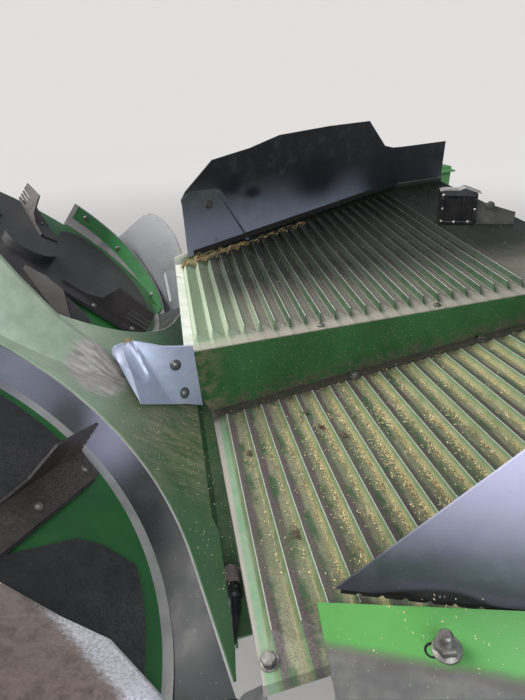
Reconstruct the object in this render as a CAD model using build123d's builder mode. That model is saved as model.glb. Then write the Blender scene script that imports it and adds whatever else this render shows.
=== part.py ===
from build123d import *
from math import cos, radians, sin, sqrt
import os

# Chaff discharge section of a combine harvester: a two-bay corrugated chaff pan
# that shakes lengthwise, and a twin-rotor spreader on a deck tilted up to the rear.
# Millimetres. +X points to the front of the machine, +Y to its left side, +Z up.
# The origin is the middle of the bolted front face of the cross beam.

# driving dimensions of the pans
PAN_L = 960.0           # length ahead of the divider wall's rear foot
FRONT_GAP = 40.0        # from the pans' front edge to the bolted face
FOOT_Z = -100.0         # height of that foot
SHEET = 2.5             # pan and wall sheet
NEAR_RISE = 0.1903      # rise of the right pan towards the front, per mm
NEAR_TILT = -0.0726     # and towards the left
FAR_STEP = 155.3        # the left pan sits this much higher at the foot
FAR_RISE = 0.0819
FAR_TILT = 0.0628
NEAR_PITCH = 38.0
FAR_PITCH = 34.3
NEAR_RIDGES = 19
FAR_RIDGES = 23
RIDGE_H = 13.0
STEEP = 0.20            # share of the pitch behind each crest
GENTLE = 0.74           # and ahead of it
RIDGE_MARGIN = 32.0     # flat strip beside the wall
NEAR_TAIL = 30.0        # the pans end this far behind the foot
FAR_TAIL = 78.0
TAIL_LIP = 12.0         # their rear edge is folded down
SIDE_A = 500.0          # side plates flare: half width at the foot
SIDE_M = 0.52           # and its growth towards the front
SIDE_MAX = 900.0        # then the plates run straight
NEAR_STRIP = 113.0      # flat strip of the right pan outside the flare
LIP_OUT = 30.0          # pan edge outside the side plates
LIP_H = 22.0
FOOT_FLANGE = 25.0      # foot of the divider wall on the right pan
TRAVEL = 10.0           # shake to either side
CLEAR = 6.0             # running clearance between bodies
RIB_T = 6.0
ROD_R = 12.0
ROD_BACK = 160.0        # guide rods: from the foot, and from the pans' front edge
ROD_FRONT = 140.0
BUSH_R = 20.0
BUSH_L = 44.0

# driving dimensions of the spreader
TILT = 37.0             # deck tilted up towards the rear
TIP_R = 400.0           # radius at the bats' tips
FLOOR_R = TIP_R + 14
BAND_LOW_R = TIP_R + 8
LIP_R = TIP_R + 44      # round openings of the deck
LIP_TURN = 15.0         # they leave their circle this far inboard of straight ahead
BAND_END = 8.0          # and run straight on, up to this angle outboard
SKIRT_R = TIP_R + 41
DISC_R = TIP_R - 24
DECK_T = 3.0
DECK_TOP = 42.0         # deck above the right disc
DECK_FRONT = LIP_R + 26
ROTOR_Y = TIP_R + 135
FLOOR_T = 3.0
FLOOR_TOP = -11.0       # dish floors below their discs
DISC_T = 4.0
HUB_R = 70.0
HUB_H = 26.0
SHAFT_R = 25.0
FIT = 0.3               # running fit of shaft and rods
BLADE_T = 4.0
BLADE_Y = 74.0          # blades stand this far off the radius
FOOT_W = 55.0
SKIRT_T = 3.0
STRIP_T = 4.0
STRIP_H = 44.0
FAR_DROP = 22.0         # the left rotor lies this much deeper
PLATE_T = 3.0
GUARD_OUT = 11.0        # guard plates outside the skirts
GUARD_TURN = 36.0

# driving dimensions of the frame
BEAM_H = 100.0
BEAM_W = 80.0
BEAM_END = 90.0         # beam end outside the straight side plates
BEAM_L = 2 * (SIDE_MAX + BEAM_END)
RAIL_Y = 300.0
RAIL_W = 60.0
RAIL_H = 50.0
MOUNT_SY = 1200.0
MOUNT_SZ = 60.0
MOUNT_HOLE_R = 8.5
BRACKET_T = 4.0
BRACKET_UP = 40.0       # top of the side brackets above the pans
BRACKET_FOLD = 60.0
STRAIGHT_L = 172.0      # straight part of the side plates
SEAL_T = 6.0
SEAL_H = 15.0

os.makedirs("parts", exist_ok=True)

FRONT_X = -FRONT_GAP
FOOT_X = FRONT_X - PAN_L
FLARE_END = FOOT_X + (SIDE_MAX - SIDE_A) / SIDE_M
FLARE_K = sqrt(1 + SIDE_M ** 2)
WIDE = 4 * SIDE_MAX

near_plane = Plane(origin=(FOOT_X, 0, FOOT_Z), x_dir=(1, 0, NEAR_RISE),
                   z_dir=(-NEAR_RISE, -NEAR_TILT, 1))
far_plane = Plane(origin=(FOOT_X, 0, FOOT_Z + FAR_STEP), x_dir=(1, 0, FAR_RISE),
                  z_dir=(-FAR_RISE, -FAR_TILT, 1))

# the deck's front edge lies just below and behind the right pan's tail
ct, st = cos(radians(TILT)), sin(radians(TILT))
EDGE_X = FOOT_X - NEAR_TAIL - TRAVEL - 21.5
EDGE_Z = FOOT_Z + 8.5
ROTOR_X = EDGE_X - DECK_FRONT * ct - DECK_TOP * st
ROTOR_Z = EDGE_Z + DECK_FRONT * st - DECK_TOP * ct
deck_plane = Plane(origin=(ROTOR_X, 0, ROTOR_Z), x_dir=(ct, 0, -st), z_dir=(st, 0, ct))


def near_z(x, y):
    return FOOT_Z + (x - FOOT_X) * NEAR_RISE + y * NEAR_TILT


def far_z(x, y):
    return FOOT_Z + FAR_STEP + (x - FOOT_X) * FAR_RISE + y * FAR_TILT


def side_y(x):
    return min(SIDE_A + SIDE_M * (x - FOOT_X), SIDE_MAX)


def finish(piece, name):
    piece.label = name
    export_step(piece, "parts/" + name + ".step")


def slab(plane, low, high):
    # everything between two heights over a plane
    with BuildPart() as part:
        with BuildSketch(plane.offset(low)):
            Rectangle(WIDE, WIDE)
        extrude(amount=high - low)
    return part.part


def prism(points, side):
    # upright prism over an outline seen from above
    with BuildPart() as part:
        with BuildSketch(Plane.XY.offset(-WIDE / 4)):
            with BuildLine():
                Polyline(*[(x, side * y) for x, y in points], close=True)
            make_face()
        extrude(amount=WIDE / 2)
    return part.part


def strip(points, width):
    # outline of a strip along a line, widened towards the middle of the machine
    return points + [(x, y - width) for x, y in reversed(points)]


def ring(plane, side, points, start, end):
    # piece of a turned ring; angles run from straight ahead towards outboard
    low = radians(start if side > 0 else -end)
    section = Plane(origin=plane.origin, x_dir=plane.x_dir * cos(low) + plane.y_dir * sin(low),
                    z_dir=plane.x_dir * sin(low) - plane.y_dir * cos(low))
    with BuildPart() as part:
        with BuildSketch(section):
            with BuildLine():
                Polyline(*points, close=True)
            make_face()
        revolve(axis=Axis(plane.origin, plane.z_dir), revolution_arc=end - start)
    return part.part


def lip_point(angle, out):
    # straight stretch of a round opening's edge, as seen from the rotor
    r = (LIP_R + out) / cos(radians(LIP_TURN + angle))
    return r * cos(radians(angle)), r * sin(radians(angle))


# pans: sheet pressed into saw-tooth ridges, steep to the rear, with hipped ends
PAN_TABLE = (
    # name, plane, rise, side, tail, first ridge, ridges, pitch, inner edge, rear half width
    ("near", near_plane, NEAR_RISE, -1, NEAR_TAIL, 0.0, NEAR_RIDGES, NEAR_PITCH, -SHEET / 2,
     SIDE_A + NEAR_STRIP),
    ("far", far_plane, FAR_RISE, 1, FAR_TAIL, -48.0, FAR_RIDGES, FAR_PITCH, -SHEET / 2,
     SIDE_A + LIP_OUT - SIDE_M * FAR_TAIL),
)
for name, plane, rise, side, tail, first, count, pitch, inner, rear_w in PAN_TABLE:
    tail_x = FOOT_X - tail
    meet_x = max(FOOT_X + (rear_w - LIP_OUT - SIDE_A) / SIDE_M, tail_x + 1)
    edge = [(tail_x, rear_w), (meet_x, rear_w), (FLARE_END, SIDE_MAX + LIP_OUT),
            (FRONT_X, SIDE_MAX + LIP_OUT)]
    outline = [(FRONT_X, inner), (tail_x, inner)] + edge
    k = sqrt(1 + rise ** 2)
    comb = [(-2 * tail, -2 * SHEET), (-2 * tail, 0)]
    for i in range(count):
        x = first + i * pitch
        comb += [(x - STEEP * pitch, 0), (x, RIDGE_H), (x + GENTLE * pitch, 0)]
    comb += [(PAN_L * k, 0), (PAN_L * k, -2 * SHEET)]
    ends = rear_w - LIP_OUT - 8
    hip = [(-3 * tail, RIDGE_MARGIN), (-3 * tail, ends), ((meet_x - FOOT_X) * k, ends),
           ((FLARE_END - FOOT_X) * k, SIDE_MAX - 10), (2 * PAN_L, SIDE_MAX - 10),
           (2 * PAN_L, RIDGE_MARGIN)]
    corners = [(x, side * y) for x, y in hip]
    with BuildPart() as teeth:
        with BuildSketch(Plane(origin=plane.origin, x_dir=plane.x_dir, z_dir=-plane.y_dir)):
            with BuildLine():
                Polyline(*comb, close=True)
            make_face()
        extrude(amount=-side * 2 * SIDE_MAX)
        with BuildSketch(plane):
            with BuildLine():
                Polyline(*corners[::-side], close=True)
            make_face()
        extrude(amount=RIDGE_H + 4, taper=50, mode=Mode.INTERSECT)
    with BuildPart() as body:
        add(slab(plane, -3 * SHEET, 0))
        add(teeth.part)
        add(prism(outline, side), mode=Mode.INTERSECT)
    with BuildPart() as pan:
        add(body.part)
        add(body.part.moved(Location((0, 0, -SHEET))), mode=Mode.SUBTRACT)
    # outer edge turned down on the right pan and up on the left one
    low, high = (-LIP_H, -SHEET / 2) if side < 0 else (-SHEET / 2, LIP_H)
    with BuildPart() as rim:
        add(slab(plane, low, high))
        add(prism(strip(edge, SHEET), side), mode=Mode.INTERSECT)
    with BuildPart() as tail_fold:
        add(slab(plane, -TAIL_LIP, -SHEET / 2))
        add(prism([(tail_x, inner), (tail_x, rear_w), (tail_x + SHEET, rear_w),
                   (tail_x + SHEET, inner)], side), mode=Mode.INTERSECT)
    with BuildPart() as whole:
        add(pan.part)
        add(rim.part)
        add(tail_fold.part)
    finish(whole.part, "pan_" + name)

# divider wall between the bays, with a foot flange on the right pan
half_t = SHEET / 2
top_x, foot_x = FOOT_X - 72, FOOT_X - 46
with BuildPart() as flange:
    add(slab(near_plane, 0.1, SHEET))
    add(prism([(FOOT_X - NEAR_TAIL, half_t), (FRONT_X, half_t), (FRONT_X, FOOT_FLANGE),
               (FOOT_X - NEAR_TAIL + 20, FOOT_FLANGE)], -1), mode=Mode.INTERSECT)
with BuildPart() as divider:
    with BuildSketch(Plane.XZ.offset(-half_t)):
        with BuildLine():
            Polyline((foot_x, FOOT_Z + 22), (top_x, far_z(top_x, -half_t) - SHEET - 0.1),
                     (FRONT_X, far_z(FRONT_X, -half_t) - SHEET - 0.1),
                     (FRONT_X, near_z(FRONT_X, -half_t) + 0.1),
                     (FOOT_X - NEAR_TAIL, near_z(FOOT_X - NEAR_TAIL, -half_t) + 0.1), close=True)
        make_face()
    extrude(amount=SHEET)
    add(flange.part)
finish(divider.part, "divider_wall")

# nose at the wall's tail: a bent sheet that parts the flow onto the two dishes
NOSE_T = 3.0
NOSE_LEAN = 0.07        # its sections lean back
NOSE_ROWS = (
    # behind the foot, top above the foot, half width at the lower edge, lower edge's height
    (48.7, 163.0, 4.6, 18.0),
    (81.0, 165.0, 31.0, 43.0),
    (107.8, 168.0, 54.0, 61.5),
    (160.7, 186.0, 112.0, 106.0),
    (176.5, 190.0, 78.0, 128.0),
    (191.0, 184.0, 44.0, 149.0),
    (207.5, 177.0, 5.0, 172.0),
)
with BuildPart() as nose:
    for side, rows in ((-1, NOSE_ROWS), (1, NOSE_ROWS[1:])):
        sections = []
        for x, top, half, low in rows:
            row = Plane(origin=(FOOT_X - x, 0, FOOT_Z), x_dir=(0, 1, 0), z_dir=(1, 0, NOSE_LEAN))
            inside = max(half - NOSE_T, 1.6)
            with BuildSketch(row) as section:
                with BuildLine():
                    Polyline((side * half, low), (side * NOSE_T, top), (0, top),
                             (0, top - NOSE_T), (side * 1.6, top - NOSE_T), (side * inside, low),
                             close=True)
                make_face()
            sections.append(section.sketch)
        loft(sections=sections, ruled=True)
finish(nose.part, "nose_cap")

# rails from the cross beam back to the deck and up under the dishes
rails = {}
for name, side, drop in (("near", -1, 0.0), ("far", 1, FAR_DROP)):
    low = FLOOR_TOP - FLOOR_T - drop
    kink = deck_plane.from_local_coords(Vector(DECK_FRONT + 54, 0, low))
    back = deck_plane.from_local_coords(Vector(20 - TIP_R, 0, low))
    back_low = deck_plane.from_local_coords(Vector(20 - TIP_R, 0, low - RAIL_H))
    kink_low = deck_plane.from_local_coords(Vector(DECK_FRONT + 66, 0, low - RAIL_H))
    slope = -kink.Z / (-BEAM_W - kink.X)
    rails[side] = (kink, slope)
    upright = Plane(origin=(0, side * RAIL_Y - RAIL_W / 2, 0), x_dir=(1, 0, 0), z_dir=(0, -1, 0))
    with BuildPart() as rail:
        with BuildSketch(upright):
            with BuildLine():
                Polyline((-BEAM_W, 0), (-BEAM_W, -RAIL_H), (kink_low.X, kink_low.Z),
                         (back_low.X, back_low.Z), (back.X, back.Z), (kink.X, kink.Z), close=True)
            make_face()
        extrude(amount=-RAIL_W)
        # gusset up to the deck's front strip
        with BuildSketch(Plane(origin=(ROTOR_X, side * RAIL_Y - 3, ROTOR_Z), x_dir=(ct, 0, -st),
                               z_dir=(0, -1, 0))):
            with BuildLine():
                Polyline((FLOOR_R + 4, low), (DECK_FRONT - 8, low),
                         (DECK_FRONT - 8, DECK_TOP - DECK_T), (DECK_FRONT - 44, DECK_TOP - DECK_T),
                         close=True)
            make_face()
        extrude(amount=-6)
    finish(rail.part, "rail_" + name)

# cross member over the rails, under the pans' tails
kink, slope = rails[-1]
far_slope = rails[1][1]
x0, x1 = kink.X + 3, kink.X + 76
TAIL_SHEET = 4.0
with BuildPart() as member:
    for inset, mode in ((0, Mode.ADD), (TAIL_SHEET, Mode.SUBTRACT)):
        with BuildSketch(Plane.XZ.offset(-SIDE_A + 10)):
            with BuildLine():
                Polyline((x0 + inset, (x0 + BEAM_W) * slope + 10 - inset),
                         (x1 - inset, (x1 + BEAM_W) * slope + 10 - inset),
                         (x1 - inset, (x1 + BEAM_W) * far_slope - inset),
                         (x0 + inset, (x0 + BEAM_W) * far_slope - inset), close=True)
            make_face()
        extrude(amount=2 * SIDE_A - 20, mode=mode)
    with BuildSketch(Plane(origin=(0, -RAIL_Y - RAIL_W / 2, 0), x_dir=(1, 0, 0), z_dir=(0, -1, 0))):
        with BuildLine():
            Polyline((-BEAM_W, 0), (-BEAM_W, -WIDE / 8), (kink.X, -WIDE / 8), (kink.X, kink.Z),
                     close=True)
        make_face()
    extrude(amount=-RAIL_W, mode=Mode.SUBTRACT)
finish(member.part, "tail_member")

# cross ribs under the pans slide on guide rods, one rod under each bay
for tag, ahead in (("rear", ROD_BACK), ("front", PAN_L - ROD_FRONT)):
    x = FOOT_X + ahead
    z_low = near_z(x, 0) - 44
    half = side_y(x) - LIP_OUT
    rod_z = z_low + 14
    bush = Plane(origin=(x - BUSH_L / 2, 0, rod_z), x_dir=(0, 1, 0), z_dir=(1, 0, 0))
    with BuildPart() as rib:
        with BuildSketch(Plane(origin=(x - RIB_T / 2, 0, 0), x_dir=(0, 1, 0), z_dir=(1, 0, 0))):
            with BuildLine():
                Polyline((-half, z_low + 30), (-RAIL_Y - 60, z_low), (RAIL_Y + 60, z_low),
                         (half, z_low + 90), (half, WIDE / 8), (-half, WIDE / 8), close=True)
            make_face()
        extrude(amount=RIB_T)
        with BuildSketch(near_plane.offset(-SHEET)):
            with Locations((0, half_t + 0.1 - WIDE / 2)):
                Rectangle(WIDE, WIDE)
        extrude(amount=WIDE / 4, mode=Mode.SUBTRACT)
        with BuildSketch(far_plane.offset(-SHEET)):
            with Locations((0, WIDE / 2 - half_t)):
                Rectangle(WIDE, WIDE)
        extrude(amount=WIDE / 4, mode=Mode.SUBTRACT)
        with BuildSketch(bush):
            with Locations((-RAIL_Y, 0), (RAIL_Y, 0)):
                Circle(BUSH_R)
        extrude(amount=BUSH_L)
        with BuildSketch(bush):
            with Locations((-RAIL_Y, 0), (RAIL_Y, 0)):
                Circle(ROD_R + FIT)
        extrude(amount=BUSH_L, mode=Mode.SUBTRACT)
    finish(rib.part, "pan_rib_" + tag)

    out = BUSH_L / 2 + TRAVEL + 20
    for name, side in (("near", -1), ("far", 1)):
        kink, slope = rails[side]
        with BuildPart() as rod:
            with BuildSketch(Plane(origin=(x - out - 10, side * RAIL_Y, rod_z), x_dir=(0, 1, 0),
                                   z_dir=(1, 0, 0))):
                Circle(ROD_R)
            extrude(amount=2 * out + 20)
            for lx in (x - out - 10, x + out):
                zr = (lx + 5 + BEAM_W) * slope - 2
                with BuildSketch(Plane(origin=(lx, side * RAIL_Y, 0), x_dir=(0, 1, 0),
                                       z_dir=(1, 0, 0))):
                    with Locations((0, rod_z)):
                        Circle(ROD_R + 6)
                    with BuildLine():
                        Polyline((-18, rod_z), (18, rod_z), (22, zr), (-22, zr), close=True)
                    make_face()
                extrude(amount=10)
            with BuildSketch(Plane(origin=(0, side * RAIL_Y - RAIL_W / 2, 0), x_dir=(1, 0, 0),
                                   z_dir=(0, -1, 0))):
                with BuildLine():
                    Polyline((-BEAM_W, 0), (-BEAM_W, -WIDE / 8), (kink.X, -WIDE / 8),
                             (kink.X, kink.Z), close=True)
                make_face()
            extrude(amount=-RAIL_W, mode=Mode.SUBTRACT)
        finish(rod.part, "guide_rod_%s_%s" % (tag, name))

# spreader deck: front strip, web between two round openings, edge turned down
front = [(DECK_FRONT, 0), (DECK_FRONT, 320), (DECK_FRONT + 11, 350), (DECK_FRONT + 10, ROTOR_Y + 8),
         (DECK_FRONT + 6, ROTOR_Y + 36), (DECK_FRONT + 5, ROTOR_Y + 48)]
back_edge = [(DECK_FRONT - 60, ROTOR_Y + 48), (DECK_FRONT - 220, ROTOR_Y - 40), (-150, ROTOR_Y - 40),
             (-150, 0)]
open_out = [lip_point(-LIP_TURN, 0), lip_point(BAND_END + 6, 0), (LIP_R * 0.8, LIP_R * 0.2)]
with BuildPart() as deck:
    with BuildSketch(deck_plane.offset(DECK_TOP - DECK_T)):
        for side in (-1, 1):
            with BuildLine():
                Polyline(*[(u, side * v) for u, v in front + back_edge], close=True)
            make_face()
        with Locations((0, -ROTOR_Y), (0, ROTOR_Y)):
            Circle(LIP_R, mode=Mode.SUBTRACT)
        for side in (-1, 1):
            with BuildLine():
                Polyline(*[(u, side * (ROTOR_Y + v)) for u, v in open_out], close=True)
            make_face(mode=Mode.SUBTRACT)
    extrude(amount=DECK_T)
    with BuildSketch(deck_plane.offset(DECK_TOP - 14)):
        for side in (-1, 1):
            with BuildLine():
                Polyline(*[(u, side * v) for u, v in front[:4]],
                         *[(u - DECK_T, side * v) for u, v in reversed(front[:4])], close=True)
            make_face()
    extrude(amount=14)
finish(deck.part, "spreader_deck")

# ridge between the dishes, rising to the rear behind the nose
RIDGE_ROWS = (
    # place along the deck, crest height over the deck, half width
    (292.0, 2.2, 12.0),
    (262.0, 13.0, 40.0),
    (226.0, 27.0, 60.0),
    (130.0, 47.0, 74.0),
    (38.0, 82.0, 70.0),
    (-140.0, 162.0, 70.0),
)
with BuildPart() as ridge:
    for u, h, half in RIDGE_ROWS:
        row = Plane(origin=deck_plane.from_local_coords(Vector(u, 0, DECK_TOP)),
                    x_dir=(0, 1, 0), z_dir=deck_plane.x_dir)
        with BuildSketch(row):
            with BuildLine():
                Polyline((-half, 0), (-half, 1), (-6, h), (6, h), (half, 1), (half, 0),
                         (half * 0.9, 0), (4, h * 0.96 - 1), (-4, h * 0.96 - 1), (-half * 0.9, 0),
                         close=True)
            make_face()
    loft(ruled=True)
finish(ridge.part, "centre_ridge")

# bats: a foot bolted to the disc and an upright blade, low with a slotted tip or tall
tip = TIP_R - 12
kr = TIP_R / 400        # outlines below were drawn for tips at 400
LOW_BLADE = ((130, 0), (130, 9), (196, 9), (240, 23), (265, 75), (tip - 4, 62), (tip, 0))
TALL_BLADE = ((130, 0), (146, 112), (161, 125), (226, 100), (288, 82), (tip + 4, 8), (tip + 4, 0))
SHORT_BLADE = ((130, 0), (130, 16), (218, 44), (297, 58), (tip + 4, 14), (tip + 4, 0))
BATS = {
    # direction at rest, outline of the blade
    "near": ((62.0, LOW_BLADE), (2.0, TALL_BLADE), (182.0, TALL_BLADE), (242.0, LOW_BLADE)),
    "far": ((-10.0, LOW_BLADE), (-52.0, SHORT_BLADE), (118.0, LOW_BLADE), (172.0, SHORT_BLADE)),
}
SLOT_L = 58.0
SLOTS = (12.0, 24.0, 36.0)

GUARD_LOW = [(kr * x, kr * z) for x, z in ((-332, -60), (245, -60), (245, 16), (198, 134))]
GUARD_ROUND = [(kr * x, kr * z) for x, z in ((198, 134), (165, 170), (100, 183), (25, 177), (-105, 124))]
GUARD_BACK = [(kr * x, kr * z) for x, z in ((-105, 124), (-231, 60), (-300, 10), (-332, -50),
                                            (-332, -60))]

for name, side, drop in (("near", -1, 0.0), ("far", 1, FAR_DROP)):
    plane = Plane(origin=deck_plane.from_local_coords(Vector(0, side * ROTOR_Y, 0)),
                  x_dir=deck_plane.x_dir, z_dir=deck_plane.z_dir)
    own = plane.offset(-drop)
    floor_top = FLOOR_TOP - drop

    # dish floor with a hub hole, reaching out to the skirt
    with BuildPart() as floor:
        with BuildSketch(own.offset(FLOOR_TOP - FLOOR_T)):
            Circle(FLOOR_R)
            Circle(SHAFT_R + 8, mode=Mode.SUBTRACT)
        extrude(amount=FLOOR_T)
        add(ring(own, side, [(FLOOR_R - 4, FLOOR_TOP), (FLOOR_R - 4, FLOOR_TOP - FLOOR_T),
                             (SKIRT_R - STRIP_T, FLOOR_TOP - FLOOR_T),
                             (SKIRT_R - STRIP_T, FLOOR_TOP)], 20, 84))
    finish(floor.part, "dish_floor_" + name)

    # band: the dish wall from the floor up to the deck, turned inboard, its lip then straight
    lip_z = DECK_TOP - DECK_T
    low_in, low_out = BAND_LOW_R + 9, BAND_LOW_R + 13
    start, sweep = -side * LIP_TURN, side * (LIP_TURN + BAND_END)
    straight = [lip_point(-LIP_TURN, -4), lip_point(BAND_END, -4), lip_point(BAND_END, 1),
                lip_point(-LIP_TURN, 1)]
    under = [lip_point(-LIP_TURN, -4), lip_point(BAND_END - 2.5, -4), lip_point(BAND_END - 2.5, 2),
             lip_point(-LIP_TURN, 12)]
    with BuildPart() as wall:
        add(ring(plane, side, [
            (BAND_LOW_R - 2, floor_top), (low_out, floor_top), (LIP_R, lip_z - 3),
            (LIP_R + 12, lip_z - 3), (LIP_R + 12, lip_z), (LIP_R - 4, lip_z),
            (BAND_LOW_R + 11, floor_top + 5)], -88, -LIP_TURN))
        add(ring(plane, side, [(BAND_LOW_R - 2, floor_top), (low_out, floor_top),
                               (low_out + 1, floor_top + 2), (BAND_LOW_R + 11, floor_top + 5)],
                 -LIP_TURN, BAND_END))
        with BuildSketch(plane.offset(floor_top)):
            with BuildLine():
                inner_arc = CenterArc((0, 0), low_in, start, sweep)
                outer_arc = CenterArc((0, 0), low_out, start, sweep)
                Line(inner_arc @ 1, outer_arc @ 1)
                Line(outer_arc @ 0, inner_arc @ 0)
            make_face()
        with BuildSketch(plane.offset(lip_z)):
            with BuildLine():
                Polyline(*[(u, side * v) for u, v in straight], close=True)
            make_face()
        loft(ruled=True)
        with BuildSketch(plane.offset(lip_z - 3)):
            with BuildLine():
                Polyline(*[(u, side * v) for u, v in under], close=True)
            make_face()
        extrude(amount=3)
    finish(wall.part, "dish_band_" + name)

    # skirt: the deep outboard wall, its top rising outboard, its foot to the rear
    top = Plane(origin=plane.from_local_coords(Vector(0, 0, -37)), x_dir=plane.x_dir,
                z_dir=plane.z_dir - plane.y_dir * side * 0.19)
    foot = Plane(origin=plane.from_local_coords(Vector(0, 0, -78)), x_dir=plane.y_dir,
                 z_dir=plane.z_dir + plane.x_dir * 0.18)
    with BuildPart() as skirt:
        add(ring(plane, side, [(SKIRT_R, -TIP_R / 2), (SKIRT_R + SKIRT_T, -TIP_R / 2),
                               (SKIRT_R + SKIRT_T, TIP_R / 2), (SKIRT_R, TIP_R / 2)], 9, 85))
        split(bisect_by=top, keep=Keep.BOTTOM)
        split(bisect_by=foot, keep=Keep.TOP)
    finish(skirt.part, "skirt_" + name)

    # stiffener strips inside the skirt's top edge and along its lower edge
    for kind, start, end, up, down in (("top", 14, 83, top.offset(-2), top.offset(-2 - STRIP_H)),
                                       ("foot", 48, 72, foot.offset(12), foot.offset(-12))):
        with BuildPart() as stiff:
            add(ring(plane, side, [(SKIRT_R - STRIP_T, -TIP_R / 2), (SKIRT_R, -TIP_R / 2),
                                   (SKIRT_R, TIP_R / 2), (SKIRT_R - STRIP_T, TIP_R / 2)],
                     start, end))
            split(bisect_by=up, keep=Keep.BOTTOM)
            split(bisect_by=down, keep=Keep.TOP)
        finish(stiff.part, "stiffener_%s_%s" % (kind, name))

    # guard: a flat round-topped plate outside the skirt, on a foot block
    turn = radians(GUARD_TURN) * side
    out = plane.x_dir * cos(turn) + plane.y_dir * sin(turn)
    across = (plane.y_dir * cos(turn) - plane.x_dir * sin(turn)) * side
    stand = Plane(origin=plane.origin + out * (SKIRT_R + GUARD_OUT), x_dir=across,
                  z_dir=across.cross(plane.z_dir))
    block = Plane(origin=plane.origin + plane.z_dir * -60, x_dir=out, z_dir=plane.z_dir)
    with BuildPart() as guard:
        with BuildSketch(stand):
            with BuildLine():
                Polyline(*GUARD_LOW)
                Spline(*GUARD_ROUND)
                Polyline(*GUARD_BACK)
            make_face()
            with Locations((-90, 26)):
                SlotOverall(110, 14, rotation=30, mode=Mode.SUBTRACT)
        extrude(amount=PLATE_T if stand.z_dir.dot(out) > 0 else -PLATE_T)
        with BuildSketch(block):
            with Locations((SKIRT_R + GUARD_OUT / 2, 0)):
                Rectangle(GUARD_OUT + 2 * PLATE_T, 40)
            with Locations((0, 0)):
                Circle(SKIRT_R + SKIRT_T + 0.1, mode=Mode.SUBTRACT)
        extrude(amount=40)
    finish(guard.part, "guard_" + name)

    # rotor drive housing below the floor
    with BuildPart() as house:
        for radius, start, depth in ((95, 0, 14), (62, 14, 90)):
            with BuildSketch(own.offset(FLOOR_TOP - FLOOR_T - start)):
                Circle(radius)
                Circle(SHAFT_R + FIT, mode=Mode.SUBTRACT)
            extrude(amount=-depth)
        with BuildSketch(own.offset(FLOOR_TOP - FLOOR_T - 104)):
            Circle(62)
        extrude(amount=-12)
    finish(house.part, "rotor_motor_" + name)

    # rotor disc, cut away beyond each bat, with hub and shaft
    notch = ((150, -BLADE_Y - FOOT_W - 3), (TIP_R + 30, -BLADE_Y - FOOT_W - 3),
             (TIP_R + 30, -BLADE_Y - 256), (268 * kr, -262 * kr), (258 * kr, -210 * kr),
             (238 * kr, -178 * kr))
    with BuildPart() as disc:
        with BuildSketch(own.offset(-DISC_T)):
            Circle(DISC_R)
            for direction, blade in BATS[name]:
                c, s = cos(radians(direction)), sin(radians(direction))
                with BuildLine():
                    Polyline(*[(c * px - s * py, s * px + c * py) for px, py in notch], close=True)
                make_face(mode=Mode.SUBTRACT)
        extrude(amount=DISC_T)
        with BuildSketch(own):
            Circle(HUB_R)
        extrude(amount=HUB_H)
        with BuildSketch(own.offset(-DISC_T)):
            Circle(SHAFT_R)
        extrude(amount=-100)
    finish(disc.part, "rotor_disc_" + name)

    for k, (direction, blade) in enumerate(BATS[name]):
        a = radians(direction)
        along = Plane(origin=own.origin, x_dir=own.x_dir * cos(a) + own.y_dir * sin(a),
                      z_dir=own.z_dir)
        with BuildPart() as bat:
            with BuildSketch(along):
                with BuildLine():
                    Polyline((130, -BLADE_Y - FOOT_W), (tip - 25, -BLADE_Y - FOOT_W),
                             (tip - 3, -BLADE_Y), (130, -BLADE_Y), close=True)
                make_face()
            extrude(amount=BLADE_T)
            with BuildSketch(Plane(origin=along.from_local_coords(Vector(0, -BLADE_Y, 0)),
                                   x_dir=along.x_dir, z_dir=-along.y_dir)):
                with BuildLine():
                    Polyline(*blade, close=True)
                make_face()
                if blade is LOW_BLADE:
                    with Locations(*[(tip - SLOT_L / 2, h) for h in SLOTS]):
                        Rectangle(SLOT_L + 20, 6, align=(Align.CENTER, Align.CENTER),
                                  mode=Mode.SUBTRACT)
            extrude(amount=BLADE_T)
        finish(bat.part, "bat_%s_%d" % (name, k + 1))

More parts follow.
